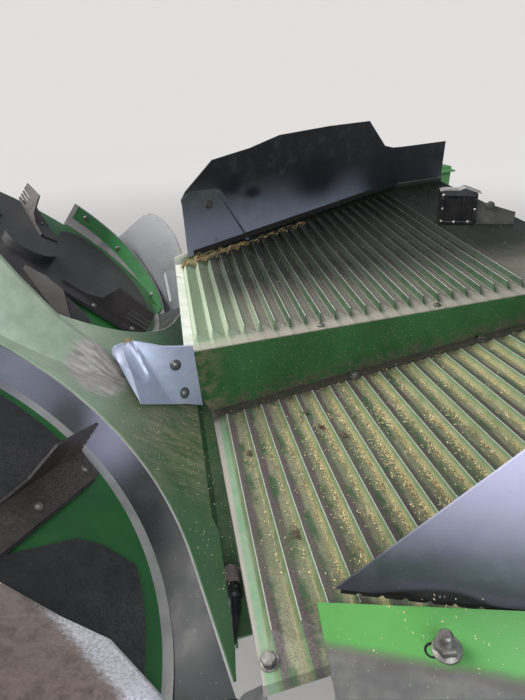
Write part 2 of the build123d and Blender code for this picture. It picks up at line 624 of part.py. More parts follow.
# side plates with a toothed rubber seal, standing along the flared edges of the pans
PLATE_LOW = RIDGE_H + CLEAR + 11
SEAL_LOW = RIDGE_H + CLEAR
CREST = ((263, 285), (445, 277), (610, 263), (690, 170), (730, 156), (FLARE_END - FOOT_X, 150))
SIDE_TABLE = (
    # side name, side, plane, height, rear part of the outline: place along the pan, height
    ("far", 1, far_plane, far_z, ((-29, PLATE_LOW), (-45, 181), (-33, 198), (49, 262), (164, 269))),
    ("near", -1, near_plane, near_z, ((76, PLATE_LOW), (221, 250))),
)
for name, side, plane, zf, rear in SIDE_TABLE:
    d = Vector(1, side * SIDE_M, 0).normalized()
    out = Vector(-side * SIDE_M, 1, 0).normalized() * side
    wall = Plane(origin=Vector(FOOT_X, side * SIDE_A, 0), x_dir=d, z_dir=out)
    up = 1 if wall.y_dir.Z > 0 else -1

    def on_wall(x, h):
        return (x * FLARE_K, up * (zf(FOOT_X + x, side * side_y(FOOT_X + x)) + h))

    rows = rear + CREST
    with BuildPart() as plate:
        with BuildSketch(wall):
            with BuildLine():
                Polyline(*[on_wall(x, h) for x, h in rows], on_wall(CREST[-1][0], PLATE_LOW),
                         close=True)
            make_face()
        extrude(amount=PLATE_T)
        with BuildSketch(Plane.XZ.offset(-side * (SIDE_MAX + (PLATE_T if side < 0 else 0)))):
            with BuildLine():
                Polyline(*[(FLARE_END + x, zf(FLARE_END + x, side * SIDE_MAX) + h) for x, h in
                           ((-2, PLATE_LOW), (-2, 150), (STRAIGHT_L, 150), (STRAIGHT_L, PLATE_LOW))],
                         close=True)
            make_face()
        extrude(amount=-PLATE_T)
    finish(plate.part, "side_plate_" + name)

    first = rear[0][0] + 6
    teeth = int((CREST[-1][0] - first) // 24)
    lower = []
    for i in range(teeth):
        lower += [on_wall(first + 24 * i, SEAL_LOW), on_wall(first + 24 * i + 16, SEAL_LOW),
                  on_wall(first + 24 * i + 20, SEAL_LOW + 5)]
    last = first + 24 * teeth
    with BuildPart() as seal:
        with BuildSketch(wall):
            with BuildLine():
                Polyline(on_wall(first, SEAL_LOW + SEAL_H), *lower, on_wall(last, SEAL_LOW + 5),
                         on_wall(last, SEAL_LOW + SEAL_H), close=True)
            make_face()
        extrude(amount=-SEAL_T)
    finish(seal.part, "seal_" + name)

    # bracket: folded sheet outside the plate, back from a post on the cross beam's end
    start = FOOT_X + 34
    skin = PLATE_T * FLARE_K
    inner = [(start + 12, side_y(start) + 42), (start + 215, side_y(start + 215) + 14),
             (start + 300, side_y(start + 300) + skin), (FLARE_END, SIDE_MAX + skin),
             (0, SIDE_MAX + skin)]
    outer = [(start, side_y(start) + 152), (start + 170, side_y(start) + 204),
             (FLARE_END, BEAM_L / 2), (0, BEAM_L / 2)]
    post_w = BEAM_END - LIP_OUT - CLEAR
    post_y = BEAM_L / 2 - post_w / 2
    with BuildPart() as shelf:
        add(slab(plane, BRACKET_UP - BRACKET_T, BRACKET_UP))
        add(prism(inner + outer[::-1], side), mode=Mode.INTERSECT)
    with BuildPart() as fold:
        add(slab(plane, BRACKET_UP - BRACKET_FOLD, BRACKET_UP))
        add(prism(strip(outer[:3] + [(-BEAM_W, BEAM_L / 2)], BRACKET_T), side),
            mode=Mode.INTERSECT)
    with BuildPart() as bracket:
        add(shelf.part)
        add(fold.part)
        with BuildSketch(Plane(origin=(-BEAM_W / 2, side * post_y, BEAM_H / 2))):
            Rectangle(BEAM_W, post_w)
        extrude(amount=zf(-BEAM_W / 2, side * post_y) + BRACKET_UP + 10 - BEAM_H / 2)
    finish(bracket.part, "side_bracket_" + name)

# cross beam with the bolted face at the origin
with BuildPart() as beam:
    with BuildSketch(Plane.YZ):
        Rectangle(BEAM_L, BEAM_H)
    extrude(amount=-BEAM_W)
    with BuildSketch(Plane.YZ):
        with GridLocations(MOUNT_SY, MOUNT_SZ, 2, 2):
            Circle(MOUNT_HOLE_R)
    extrude(amount=-BEAM_W, mode=Mode.SUBTRACT)
finish(beam.part, "cross_beam")
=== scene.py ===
import bpy
import math
import random
from mathutils import Matrix, Vector


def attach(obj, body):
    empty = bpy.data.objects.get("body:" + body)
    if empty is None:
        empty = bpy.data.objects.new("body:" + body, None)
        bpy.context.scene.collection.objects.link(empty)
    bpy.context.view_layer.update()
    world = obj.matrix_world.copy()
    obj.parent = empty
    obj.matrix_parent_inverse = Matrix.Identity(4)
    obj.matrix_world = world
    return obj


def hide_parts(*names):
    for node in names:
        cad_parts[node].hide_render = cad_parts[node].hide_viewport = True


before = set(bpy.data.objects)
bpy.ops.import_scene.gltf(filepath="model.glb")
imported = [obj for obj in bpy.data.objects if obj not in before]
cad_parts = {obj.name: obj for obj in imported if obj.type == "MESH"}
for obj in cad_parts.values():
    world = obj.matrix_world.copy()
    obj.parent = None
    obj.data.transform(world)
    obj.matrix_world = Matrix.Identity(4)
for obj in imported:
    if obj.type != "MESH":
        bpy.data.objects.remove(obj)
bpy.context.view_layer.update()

rng = random.Random(7)
scene = bpy.context.scene

# places in the model, in metres; the foot is the divider wall's rear foot
FOOT = Vector((-1.0, 0.0, -0.1))
TILT = math.radians(37.0)
DECK_U = Vector((math.cos(TILT), 0, -math.sin(TILT)))
DECK_N = Vector((math.sin(TILT), 0, math.cos(TILT)))
ACROSS = Vector((0, 1, 0))
ROTOR = {
    "near": Vector((-1.462135, -0.535, 0.15781)),
    "far": Vector((-1.462135, 0.535, 0.15781)),
}
FAR_DROP = 0.022
DECK_TOP = 0.042
# rise to the front, rise to the left, height over the foot, ridge pitch, first ridge
PANS = {
    "near": (0.1903, -0.0726, 0.0, 0.038, 0.0),
    "far": (0.0819, 0.0628, 0.1553, 0.0343, -0.048),
}
SIDE_A, SIDE_M = 0.5, 0.52
STUD_FROM_FOOT = Vector((0.1557, -0.6573, 0.1182))
STUD = FOOT + STUD_FROM_FOOT
STUD_AXIS = Vector((-0.186, 0.071, 0.98))

# camera: fitted to the photo's ridge lines, wall and rotor circles
CAM_POS = Vector((-1.081, -0.934, 0.538))
CAM_PITCH, CAM_ROLL, CAM_YAW = 0.48654, 0.018434, 0.176364
SENSOR = 36.0
# focal length in pixels over the picture's width
CAM_LENS = 505.0 / 525.0 * SENSOR


def at(x, y, z):
    # place from the foot, in millimetres
    return FOOT + Vector((x, y, z)) / 1000


def pan_z(side, x, y):
    rise, tilt, step = PANS[side][:3]
    return FOOT.z + step + (x - FOOT.x) * rise + y * tilt


def pan_normal(side):
    rise, tilt = PANS[side][:2]
    return Vector((-rise, -tilt, 1)).normalized()


def on_deck(side, u, v, height=DECK_TOP):
    return ROTOR[side] + DECK_U * u + ACROSS * v + DECK_N * height


def make_camera():
    flat = Vector((math.sin(CAM_YAW), math.cos(CAM_YAW), 0.0))
    ahead = flat * math.cos(CAM_PITCH) - Vector((0, 0, math.sin(CAM_PITCH)))
    level = Vector((math.cos(CAM_YAW), -math.sin(CAM_YAW), 0.0))
    down = ahead.cross(level)
    right = level * math.cos(CAM_ROLL) + down * math.sin(CAM_ROLL)
    up = -(down * math.cos(CAM_ROLL) - level * math.sin(CAM_ROLL))
    camera = bpy.data.objects.new("camera", bpy.data.cameras.new("camera"))
    scene.collection.objects.link(camera)
    turn = Matrix((right, up, -ahead)).transposed().to_4x4()
    turn.translation = CAM_POS
    camera.matrix_world = turn
    data = camera.data
    data.sensor_fit, data.sensor_width, data.lens = "HORIZONTAL", SENSOR, CAM_LENS
    data.clip_start, data.clip_end = 0.01, 100.0
    scene.camera = camera


# materials

GREEN = (0.016, 0.115, 0.026)
GREEN_DEEP = (0.008, 0.062, 0.016)
DUST = (0.235, 0.225, 0.165)
DUST_PALE = (0.42, 0.42, 0.35)
FOOT_BROWN = (0.085, 0.062, 0.04)
CHAFF = (0.56, 0.47, 0.25)


class Finish:
    """One material with short names for its nodes."""

    def __init__(self, name, rough=0.5, metal=0.0):
        self.mat = bpy.data.materials.new(name)
        self.mat.use_nodes = True
        self.tree = self.mat.node_tree
        self.shader = self.tree.nodes["Principled BSDF"]
        self.fill(self.shader, Roughness=rough, Metallic=metal)
        self.place = self.node("ShaderNodeTexCoord").outputs["Object"]

    def node(self, kind, **settings):
        node = self.tree.nodes.new(kind)
        for key, value in settings.items():
            setattr(node, key, value)
        return node

    def feed(self, socket, value):
        if isinstance(value, bpy.types.NodeSocket):
            self.tree.links.new(value, socket)
        else:
            socket.default_value = value

    def fill(self, node, **values):
        # inputs by name, with _ for a space
        for key, value in values.items():
            self.feed(node.inputs[key.replace("_", " ")], value)
        return node

    def calc(self, operation, a, b=0.0, c=0.0):
        node = self.node("ShaderNodeMath", operation=operation)
        for socket, value in zip(node.inputs, (a, b, c)):
            self.feed(socket, value)
        return node.outputs[0]

    def times(self, a, b):
        return self.calc("MULTIPLY", a, b)

    def plus(self, a, b):
        return self.calc("ADD", a, b)

    def times_plus(self, a, b, c):
        return self.calc("MULTIPLY_ADD", a, b, c)

    def vector(self, operation, a, b=None, out="Vector"):
        node = self.node("ShaderNodeVectorMath", operation=operation)
        self.feed(node.inputs[0], a)
        if b is not None:
            node.inputs[1].default_value = tuple(b)
        return node.outputs[out]

    def along(self, direction, start=(0, 0, 0)):
        # distance from a point along a direction
        off = self.vector("SUBTRACT", self.place, start)
        return self.vector("DOT_PRODUCT", off, direction, "Value")

    def distance(self, point, stretch=(1, 1, 1)):
        off = self.vector("MULTIPLY", self.vector("SUBTRACT", self.place, point), stretch)
        return self.vector("LENGTH", off, out="Value")

    def facing(self, direction):
        # how far the surface faces a direction
        normal = self.node("ShaderNodeTexCoord").outputs["Normal"]
        return self.vector("DOT_PRODUCT", normal, direction, "Value")

    def noise(self, scale, detail=4.0, rough=0.55, stretch=(1, 1, 1), distort=0.0):
        mapping = self.fill(self.node("ShaderNodeMapping"), Vector=self.place, Scale=stretch)
        noise = self.fill(self.node("ShaderNodeTexNoise"), Vector=mapping.outputs[0], Scale=scale,
                          Detail=detail, Roughness=rough, Distortion=distort)
        return noise.outputs["Fac"]

    def mottle(self, scale):
        return self.noise(scale, 4.0, 0.6)

    def fine(self, scale=420.0):
        return self.noise(scale, 2.0, 0.7)

    def specks(self, scale, size):
        # small round spots, 1 inside and 0 outside
        cells = self.fill(self.node("ShaderNodeTexVoronoi"), Vector=self.place, Scale=scale)
        return self.remap(cells.outputs["Distance"], size, size * 0.6)

    def remap(self, value, low, high, out_low=0.0, out_high=1.0):
        node = self.node("ShaderNodeMapRange", interpolation_type="SMOOTHSTEP")
        self.fill(node, Value=value, From_Min=low, From_Max=high, To_Min=out_low, To_Max=out_high)
        return node.outputs[0]

    def mix(self, share, a, b):
        node = self.node("ShaderNodeMix", data_type="RGBA")
        self.feed(node.inputs[0], share)
        self.feed(node.inputs[6], (*a, 1) if isinstance(a, tuple) else a)
        self.feed(node.inputs[7], (*b, 1) if isinstance(b, tuple) else b)
        return node.outputs[2]

    def dusted(self, base, scale, size, share, dust=DUST_PALE):
        return self.mix(self.times(self.specks(scale, size), share), base, dust)

    def coat(self, base, mid, fine, gloss, grain, depth, strength=0.3):
        # sheet whose gloss and bump follow its mottle, with fine grain on top
        return self.done(base, self.remap(mid, 0.3, 0.7, *gloss), self.times_plus(fine, grain, mid),
                         depth, strength)

    def done(self, base, rough, height, depth, strength):
        # colour, gloss and bump wired up; the depth is in metres
        bump = self.fill(self.node("ShaderNodeBump"), Strength=strength, Distance=depth, Height=height)
        self.fill(self.shader, Base_Color=base, Roughness=rough, Normal=bump.outputs[0])
        return self.mat


def pan_base(side):
    # a finish with its pan's height, distance ahead of the first ridge and place on a ridge (0 at
    # a crest, rising down the gentle slope to the valley, then up the next steep face), the place
    # across, and two noises
    f = Finish("dusty_pan_" + side, rough=0.55)
    rise, tilt, step, pitch, first = PANS[side]
    along = Vector((1, 0, rise)).normalized()
    start = FOOT + Vector((0, 0, step))
    ahead = f.along(along, start + along * first)
    phase = f.calc("FRACT", f.calc("DIVIDE", ahead, pitch))
    streak = f.noise(22.0, 5.0, 0.62, stretch=(1.0, 0.25, 1.0))
    return f, f.along(pan_normal(side), start), ahead, phase, f.along(ACROSS), f.mottle(38.0), streak


def near_pan_finish():
    """Pale crests, partly rubbed paint and partly painted highlight; behind them purple-brown, partly
    dirt and partly painted shade; then green patches, tan dust and chaff.
    """
    f, height, ahead, phase, across, mid, streak = pan_base("near")
    big, fine = f.noise(6.0, 3.0), f.fine()
    grain = f.remap(fine, 0.3, 0.7)
    wavy = f.times_plus(streak, 0.55, f.calc("SUBTRACT", phase, 0.275))
    # brown behind each crest: partly dirt, partly painted shade on the slope facing away from the light;
    # darker towards the front
    brown = f.mix(grain, (0.075, 0.058, 0.056), (0.15, 0.118, 0.112))
    brown = f.mix(f.remap(ahead, 0.05, 0.4, 0.0, 0.55), brown, (0.05, 0.04, 0.036))
    tan = f.mix(grain, (0.15, 0.15, 0.09), (0.31, 0.3, 0.195))
    paint = f.mix(f.remap(mid, 0.35, 0.7), (0.022, 0.075, 0.026), (0.055, 0.125, 0.055))
    slope = f.mix(f.remap(wavy, 0.24, 0.44), brown, tan)
    patch = f.times(f.remap(wavy, 0.12, 0.3), f.remap(wavy, 0.62, 0.42))
    patch = f.times(patch, f.remap(f.mottle(13.0), 0.47, 0.6))
    slope = f.mix(f.times(patch, 0.85), slope, paint)
    olive = f.times(f.remap(big, 0.42, 0.62), 0.4)
    slope = f.mix(olive, slope, f.mix(grain, (0.08, 0.12, 0.06), (0.15, 0.19, 0.1)))
    steep = f.mix(f.remap(mid, 0.3, 0.65), (0.1, 0.15, 0.062), (0.2, 0.235, 0.125))
    under = f.mix(mid, (0.07, 0.15, 0.06), (0.16, 0.25, 0.125))
    steep = f.mix(f.remap(phase, 0.97, 0.88), under, steep)
    base = f.mix(f.remap(phase, 0.79, 0.84), slope, steep)
    flakes = f.times(f.remap(phase, 0.56, 0.74), f.remap(phase, 0.97, 0.86))
    flakes = f.times(flakes, f.remap(f.noise(520.0, 2.0, 0.6), 0.44, 0.56))
    rich = f.times(f.remap(ahead, 0.02, 0.14, 0.25, 1.0), f.remap(streak, 0.38, 0.58, 0.3, 1.0))
    husk = f.mix(f.noise(260.0, 1.0), (0.62, 0.52, 0.24), (0.2, 0.15, 0.07))
    base = f.mix(f.times(flakes, rich), base, husk)
    # smooth mint strip behind the first ridge, its tail edge dusted pink
    strip = f.mix(f.remap(ahead, -0.016, -0.022), (0.16, 0.31, 0.175), (0.4, 0.34, 0.315))
    strip = f.mix(f.remap(mid, 0.35, 0.7, 0.0, 0.4), strip, (0.34, 0.37, 0.28))
    base = f.mix(f.times(f.remap(ahead, -0.002, -0.012), 0.9), base, strip)
    by_wall = f.times_plus(mid, 0.02, across)
    base = f.mix(f.remap(by_wall, -0.05, -0.016, 0.0, 0.85), base, (0.045, 0.038, 0.03))
    # pale crest line: partly rubbed paint, partly painted highlight
    base = f.mix(f.remap(height, 0.0122, 0.0129, 0.0, 0.85), base, (0.7, 0.66, 0.63))
    return f.done(base, f.remap(streak, 0.35, 0.65, 0.42, 0.75),
                  f.times_plus(fine, 0.6, f.times(mid, 1.5)), 0.0012, 0.6)


def far_pan_finish():
    """Mint at the rear, painted as sky-lit; dusty towards the wall; a painted shadow turns it near-black
    green towards the side plate.
    """
    f, height, ahead, phase, across, mid, streak = pan_base("far")
    fine = f.fine()
    grain = f.remap(fine, 0.3, 0.7)
    dusty = f.mix(grain, (0.16, 0.15, 0.115), (0.31, 0.285, 0.235))
    slope = f.mix(f.remap(phase, 0.02, 0.3), (0.11, 0.098, 0.075), dusty)
    green = f.mix(grain, (0.15, 0.25, 0.14), (0.27, 0.35, 0.22))
    slope = f.mix(f.remap(ahead, 0.16, 0.0, 0.0, 0.85), slope, green)
    # steep faces: mint at the rear as painted light, deep green further ahead as painted shade
    mint = f.mix(mid, (0.3, 0.42, 0.28), (0.5, 0.56, 0.42))
    deep = f.mix(f.remap(mid, 0.35, 0.7), (0.012, 0.045, 0.014), (0.03, 0.075, 0.028))
    steep = f.mix(f.times_plus(mid, 0.3, f.remap(ahead, 0.0, 0.26)), mint, deep)
    base = f.mix(f.remap(phase, 0.77, 0.84), slope, steep)
    # flat front: pinkish dust in two mottled tones
    front = f.mix(f.remap(f.noise(9.0, 4.0), 0.35, 0.65), (0.2, 0.175, 0.15), (0.13, 0.13, 0.095))
    base = f.mix(f.remap(ahead, 0.772, 0.782), base, front)
    # bare pale tail
    tail = f.mix(f.remap(mid, 0.35, 0.7), (0.5, 0.52, 0.45), (0.62, 0.62, 0.57))
    base = f.mix(f.remap(ahead, -0.006, -0.011, 0.0, 0.9), base, tail)
    edge = f.remap(f.times_plus(mid, 0.02, across), 0.045, 0.022)
    base = f.mix(f.times(edge, 0.7), base, f.mix(grain, (0.25, 0.23, 0.19), (0.4, 0.36, 0.31)))
    # painted shadow of the machine above: dark from part way across towards the side plate
    cast_shade = f.times(f.remap(f.times_plus(mid, 0.06, across), 0.1, 0.34), f.remap(ahead, -0.02, 0.12))
    # painted highlight on the crests, dimmer inside the painted shadow
    crest = f.times(f.remap(height, 0.0119, 0.0128), f.times_plus(cast_shade, -0.72, 0.9))
    base = f.mix(f.times(cast_shade, 0.95), base, (0.008, 0.012, 0.008))
    base = f.mix(crest, base, (0.68, 0.65, 0.58))
    return f.done(base, f.remap(streak, 0.35, 0.65, 0.45, 0.8),
                  f.times_plus(fine, 0.6, f.times(mid, 1.5)), 0.0012, 0.6)


def enamel(name, paint=GREEN, deep=GREEN_DEEP, dust=0.35, rough=0.38):
    """Green enamel with a film of dust, thicker on what faces up."""
    f = Finish(name, rough=rough)
    big, mid, fine = f.noise(6.0, 3.0), f.mottle(34.0), f.fine(380.0)
    up = f.remap(f.facing((0, 0, 1)), 0.2, 0.95)
    base = f.mix(f.remap(big, 0.35, 0.7), paint, deep)
    film = f.times(f.times_plus(up, 0.75, 0.25), f.remap(mid, 0.3, 0.75, 0.4, 1.0))
    film = f.times(film, dust)
    base = f.mix(film, base, DUST)
    base = f.dusted(base, 150.0, 0.16, dust * 0.6)
    return f.done(base, f.times_plus(film, 0.5, rough),
                  f.times_plus(fine, 0.3, mid), 0.0006, 0.35)


def wall_finish():
    """Divider wall: clean deep enamel, darker brown along the foot and specks of chaff."""
    f = Finish("wall_enamel", rough=0.3)
    big, mid, fine = f.noise(5.0, 3.0), f.mottle(40.0), f.fine(400.0)
    base = f.mix(f.remap(big, 0.35, 0.7), (0.02, 0.085, 0.026), (0.03, 0.12, 0.036))
    height = f.along(pan_normal("near"), FOOT)
    # darker brown along the foot, close over the pan
    foot = f.times(f.remap(height, 0.05, 0.0), f.remap(mid, 0.3, 0.62))
    base = f.mix(f.times(foot, 0.85), base, FOOT_BROWN)
    flange = f.remap(height, 0.006, 0.003)
    base = f.mix(f.times(flange, f.remap(mid, 0.3, 0.6, 0.7, 1.0)), base, (0.05, 0.043, 0.033))
    tail = f.times(f.remap(f.along((1, 0, 0), FOOT), 0.02, -0.05), f.remap(mid, 0.4, 0.6))
    base = f.mix(f.times(tail, 0.6), base, (0.2, 0.15, 0.1))
    base = f.dusted(base, 170.0, 0.17, 0.55, CHAFF)
    return f.done(base, f.times_plus(foot, 0.5, f.remap(mid, 0.3, 0.7, 0.26, 0.42)),
                  f.times_plus(fine, 0.3, f.times(foot, 2.0)), 0.0008, 0.4)


def deck_finish(name):
    """Deck enamel: hazy mint at the tail end, rubbed pink-grey at the nose, tan streaks below it."""
    f = Finish(name, rough=0.42)
    big, mid, fine = f.noise(5.0, 3.0), f.mottle(30.0), f.fine(380.0)
    flow = f.along(DECK_U, ROTOR["far"])
    v = f.along(ACROSS)
    base = f.mix(f.remap(big, 0.35, 0.65), (0.05, 0.12, 0.052), (0.03, 0.085, 0.032))
    mint = f.times(f.remap(flow, 0.42, 0.12), f.remap(mid, 0.3, 0.7, 0.75, 1.0))
    base = f.mix(mint, base, (0.42, 0.52, 0.38))
    streak = f.noise(75.0, 5.0, 0.65, stretch=(0.22, 1.7, 0.22), distort=0.5)
    scratch = f.noise(160.0, 4.0, 0.7, stretch=(0.12, 1.0, 0.12), distort=0.3)
    zone = f.times(f.remap(flow, 0.24, 0.36), f.remap(v, -0.38, -0.14))
    zone = f.times(zone, f.remap(v, 0.05, 0.0))
    cloud = f.times_plus(streak, 0.5, f.times(mid, 0.5))
    share = f.times(zone, f.remap(cloud, 0.36, 0.6, 0.25, 1.0))
    tan = f.mix(f.remap(scratch, 0.3, 0.7), (0.13, 0.135, 0.075), (0.27, 0.265, 0.17))
    base = f.mix(f.times(share, 0.85), base, tan)
    # worn patch beside the nose
    off = f.distance(at(-252, -42, 150), (1.0, 0.8, 1.0))
    patch = f.remap(f.times_plus(mid, 0.05, off), 0.1, 0.072)
    tone = f.mix(f.remap(scratch, 0.35, 0.62), (0.3, 0.26, 0.24), (0.6, 0.55, 0.52))
    base = f.mix(f.times(patch, f.remap(mid, 0.34, 0.5, 0.7, 0.97)), base, tone)
    base = f.dusted(base, 130.0, 0.13, 0.5)
    return f.done(base, f.remap(mid, 0.3, 0.7, 0.34, 0.55),
                  f.times_plus(fine, 0.3, f.plus(mid, scratch)), 0.0006, 0.4)


def plate_finish(name, color, dark):
    """Blue-grey coated sheet, hazy and lightly dusted."""
    f = Finish(name, rough=0.42)
    big, mid, fine = f.noise(4.0, 3.0), f.mottle(26.0), f.fine()
    base = f.mix(f.remap(big, 0.3, 0.7), color, tuple(c * 0.78 for c in color))
    base = f.mix(f.remap(mid, 0.45, 0.75, 0.0, 0.25), base, tuple(min(c * 1.4, 0.7) for c in color))
    base = f.mix(f.remap(f.noise(11.0, 3.0), 0.6, 0.72, 0.0, 0.5), base, dark)
    base = f.dusted(base, 120.0, 0.1, 0.4)
    return f.coat(base, mid, fine, (0.34, 0.5), 0.25, 0.0005)


# soft dark smudges on the far side plate: past the foot, above the foot, radius, stretch upward
SMUDGES = ((0.1, 0.385, 0.08, 1.3), (0.17, 0.352, 0.06, 1.7), (0.4, 0.37, 0.14, 1.2),
           (0.7, 0.345, 0.16, 0.9), (0.83, 0.3, 0.17, 0.8))


def far_plate_finish():
    """Far side plate: painted shade makes it dull black above and towards the front, bluer towards the
    foot, with soft dark smudges.
    """
    f = Finish("far_plate_sheet", rough=0.42)
    mid, fine = f.mottle(26.0), f.fine()
    up = f.along(pan_normal("far"), FOOT + Vector((0, 0, PANS["far"][2])))
    ahead = f.along((1, 0, 0), FOOT)
    # painted shade: darker higher up and towards the front
    share = f.times_plus(up, 4.2, f.times(ahead, 0.55))
    dark = f.remap(f.times_plus(mid, 0.2, share), 0.25, 1.05)
    base = f.mix(dark, (0.24, 0.27, 0.33), (0.009, 0.011, 0.012))
    base = f.mix(f.remap(mid, 0.45, 0.75, 0.0, 0.2), base, (0.12, 0.13, 0.135))
    for x, z, radius, tall in SMUDGES:
        point = on_plate(1, x, z)
        blot = f.times_plus(mid, 0.03, f.distance(point, (0.8, 0.8, tall)))
        base = f.mix(f.remap(blot, radius, radius * 0.35, 0.0, 0.93), base, (0.004, 0.005, 0.01))
    base = f.dusted(base, 120.0, 0.09, 0.3)
    return f.coat(base, mid, fine, (0.4, 0.55), 0.25, 0.0005)


def near_plate_finish():
    """Near side plate: painted lilac sheen high up, painted shade below, and a black painted shadow in
    the gap over the bracket.
    """
    f = Finish("near_plate_sheet", rough=0.36, metal=0.1)
    mid, fine = f.mottle(26.0), f.fine()
    up = f.along(pan_normal("near"), FOOT)
    ahead = f.along((1, 0, 0), FOOT)
    # painted light and shade: lilac high up and towards the front, dark below
    share = f.times_plus(mid, 0.12, f.times_plus(up, 3.0, f.times(ahead, 0.6)))
    base = f.mix(f.remap(share, 0.3, 1.0), (0.06, 0.062, 0.08), (0.62, 0.61, 0.82))
    base = f.mix(f.remap(mid, 0.45, 0.75, 0.0, 0.2), base, (0.2, 0.2, 0.25))
    # painted shadow in the gap over the bracket: a band that thickens towards the bolt and fades beyond
    # it
    hump = f.times(f.remap(ahead, 0.09, 0.18), f.remap(ahead, 0.25, 0.19))
    edge = f.times_plus(hump, 0.022, 0.024)
    over = f.calc("SUBTRACT", up, edge)
    band = f.times(f.remap(over, 0.006, -0.003), f.remap(ahead, 0.3, 0.235))
    outer = f.remap(f.facing((SIDE_M, 1, 0)), 0.2, -0.2)
    base = f.mix(f.times(band, outer), base, (0.003, 0.003, 0.004))
    base = f.dusted(base, 140.0, 0.1, 0.35)
    return f.coat(base, mid, fine, (0.3, 0.45), 0.4, 0.0005, 0.35)


def bracket_finish():
    """Bright green enamel, lighter ahead of the stud as a painted sheen; grey beyond a soft line across
    its top, partly dust and partly a painted reflection standing in for a bend the top does not have.
    """
    f = Finish("bracket_enamel", rough=0.36)
    mid, fine = f.mottle(34.0), f.fine(380.0)
    base = f.mix(f.remap(f.noise(6.0, 3.0), 0.35, 0.7), (0.08, 0.27, 0.06), (0.095, 0.3, 0.075))
    # painted sheen: lighter green ahead of the stud
    base = f.mix(f.remap(f.along((1, 0, 0), STUD), -0.02, 0.1), base, (0.125, 0.33, 0.11))
    # the painted line runs between two places on the top
    start, end = at(40, -600, 92), at(214, -696, 132)
    out = (end - start).to_2d().to_3d().cross(Vector((0, 0, 1))).normalized()
    past = f.times_plus(mid, 0.008, f.along(out, start + out * 0.014))
    # grey beyond the line: partly dust, partly a painted reflection standing in for a bend
    grey = f.mix(f.remap(mid, 0.35, 0.7), (0.1, 0.1, 0.095), (0.14, 0.14, 0.13))
    edge = f.times(f.remap(past, -0.008, 0.002), f.remap(past, 0.02, 0.006))
    base = f.mix(f.remap(past, -0.004, 0.01), base, grey)
    base = f.mix(f.times(edge, 0.5), base, (0.1, 0.085, 0.075))
    base = f.dusted(base, 150.0, 0.1, 0.5, (0.45, 0.6, 0.33))
    return f.coat(base, mid, fine, (0.3, 0.45), 0.3, 0.0006)


def band_finish():
    """Dark coated dish wall with a painted sky reflection, and a painted highlight on the narrow strip
    where it turns into the floor.
    """
    f = Finish("dish_wall", rough=0.4)
    mid, fine = f.mottle(20.0), f.fine()
    base = f.mix(f.remap(mid, 0.35, 0.7), (0.02, 0.021, 0.021), (0.034, 0.035, 0.036))
    # painted reflection of the sky: bluish grey, fading out towards the front
    around = f.times_plus(mid, 0.04, f.along(DECK_U, ROTOR["near"]))
    base = f.mix(f.remap(around, 0.33, 0.12, 0.0, 0.9), base, (0.13, 0.135, 0.185))
    # lilac sheen, then the dark blot in it
    light = f.times_plus(mid, 0.03, f.distance(at(-222, -185, 90)))
    base = f.mix(f.remap(light, 0.13, 0.03, 0.0, 0.7), base, (0.27, 0.27, 0.37))
    blot = f.times_plus(mid, 0.03, f.distance(at(-284, -172, 130), (1.3, 1.3, 1.0)))
    base = f.mix(f.remap(blot, 0.085, 0.03, 0.0, 0.85), base, (0.018, 0.018, 0.022))
    # painted highlight on the strip facing up, brightest part way round
    up = f.remap(f.facing(DECK_N), 0.9, 0.965)
    strip = f.mix(f.remap(around, 0.06, 0.2), (0.07, 0.075, 0.085), (0.5, 0.48, 0.45))
    strip = f.mix(f.remap(f.noise(9.0, 3.0), 0.45, 0.65, 0.0, 0.6), strip, (0.22, 0.22, 0.215))
    base = f.mix(up, base, strip)
    base = f.dusted(base, 110.0, 0.1, 0.35)
    return f.coat(base, mid, fine, (0.38, 0.55), 0.25, 0.0005)


def rotor_finish(name, base_color, dusty, dust=0.5, rough=0.45, zone=None):
    """Worn steel under brown dust, grainy close up; the zone is a pale painted highlight where the sky
    lights the sheet.
    """
    f = Finish(name, rough=rough, metal=0.15)
    big = f.noise(9.0, 3.0)
    mid = f.noise(60.0, 4.0, 0.65)
    grain = f.noise(260.0, 3.0, 0.7)
    base = f.mix(f.remap(mid, 0.35, 0.7), base_color, tuple(c * 0.6 for c in base_color))
    share = f.times(f.remap(big, 0.35, 0.65, 0.3, 1.0), f.remap(grain, 0.3, 0.65))
    base = f.mix(f.times(share, dust), base, dusty)
    if zone:
        start, way = zone
        # painted highlight: pale past a soft line across the zone
        past = f.times_plus(f.plus(mid, grain), 0.012, f.along(way, start))
        pale = f.mix(f.remap(grain, 0.35, 0.6), (0.48, 0.46, 0.49), (0.74, 0.72, 0.76))
        base = f.mix(f.remap(past, 0.006, 0.022), base, pale)
    return f.done(base, f.remap(share, 0.0, 1.0, rough - 0.08, rough + 0.25),
                  grain, 0.0006, 0.5)


def coated(name, color, other, rough=0.45, metal=0.0, scale=40.0):
    """Any plain finish: two close tones, fine grain and uneven gloss."""
    f = Finish(name, rough=rough, metal=metal)
    mid, fine = f.mottle(scale), f.fine(scale * 9)
    gloss = f.remap(fine, 0.25, 0.75, rough - 0.08, rough + 0.12)
    return f.done(f.mix(f.remap(mid, 0.35, 0.68), color, other), gloss, fine, 0.0004, 0.4)


def nose_finish():
    """Blue-grey coated sheet, a little metallic, with a rubbed haze."""
    f = Finish("nose_sheet", rough=0.36, metal=0.25)
    big, mid, fine = f.noise(14.0, 3.0), f.mottle(60.0), f.fine(500.0)
    base = f.mix(f.remap(big, 0.3, 0.7), (0.36, 0.42, 0.54), (0.4, 0.43, 0.56))
    base = f.mix(f.remap(mid, 0.4, 0.7, 0.0, 0.35), base, (0.5, 0.52, 0.6))
    base = f.dusted(base, 160.0, 0.09, 0.4)
    return f.coat(base, mid, fine, (0.3, 0.46), 0.25, 0.0004)


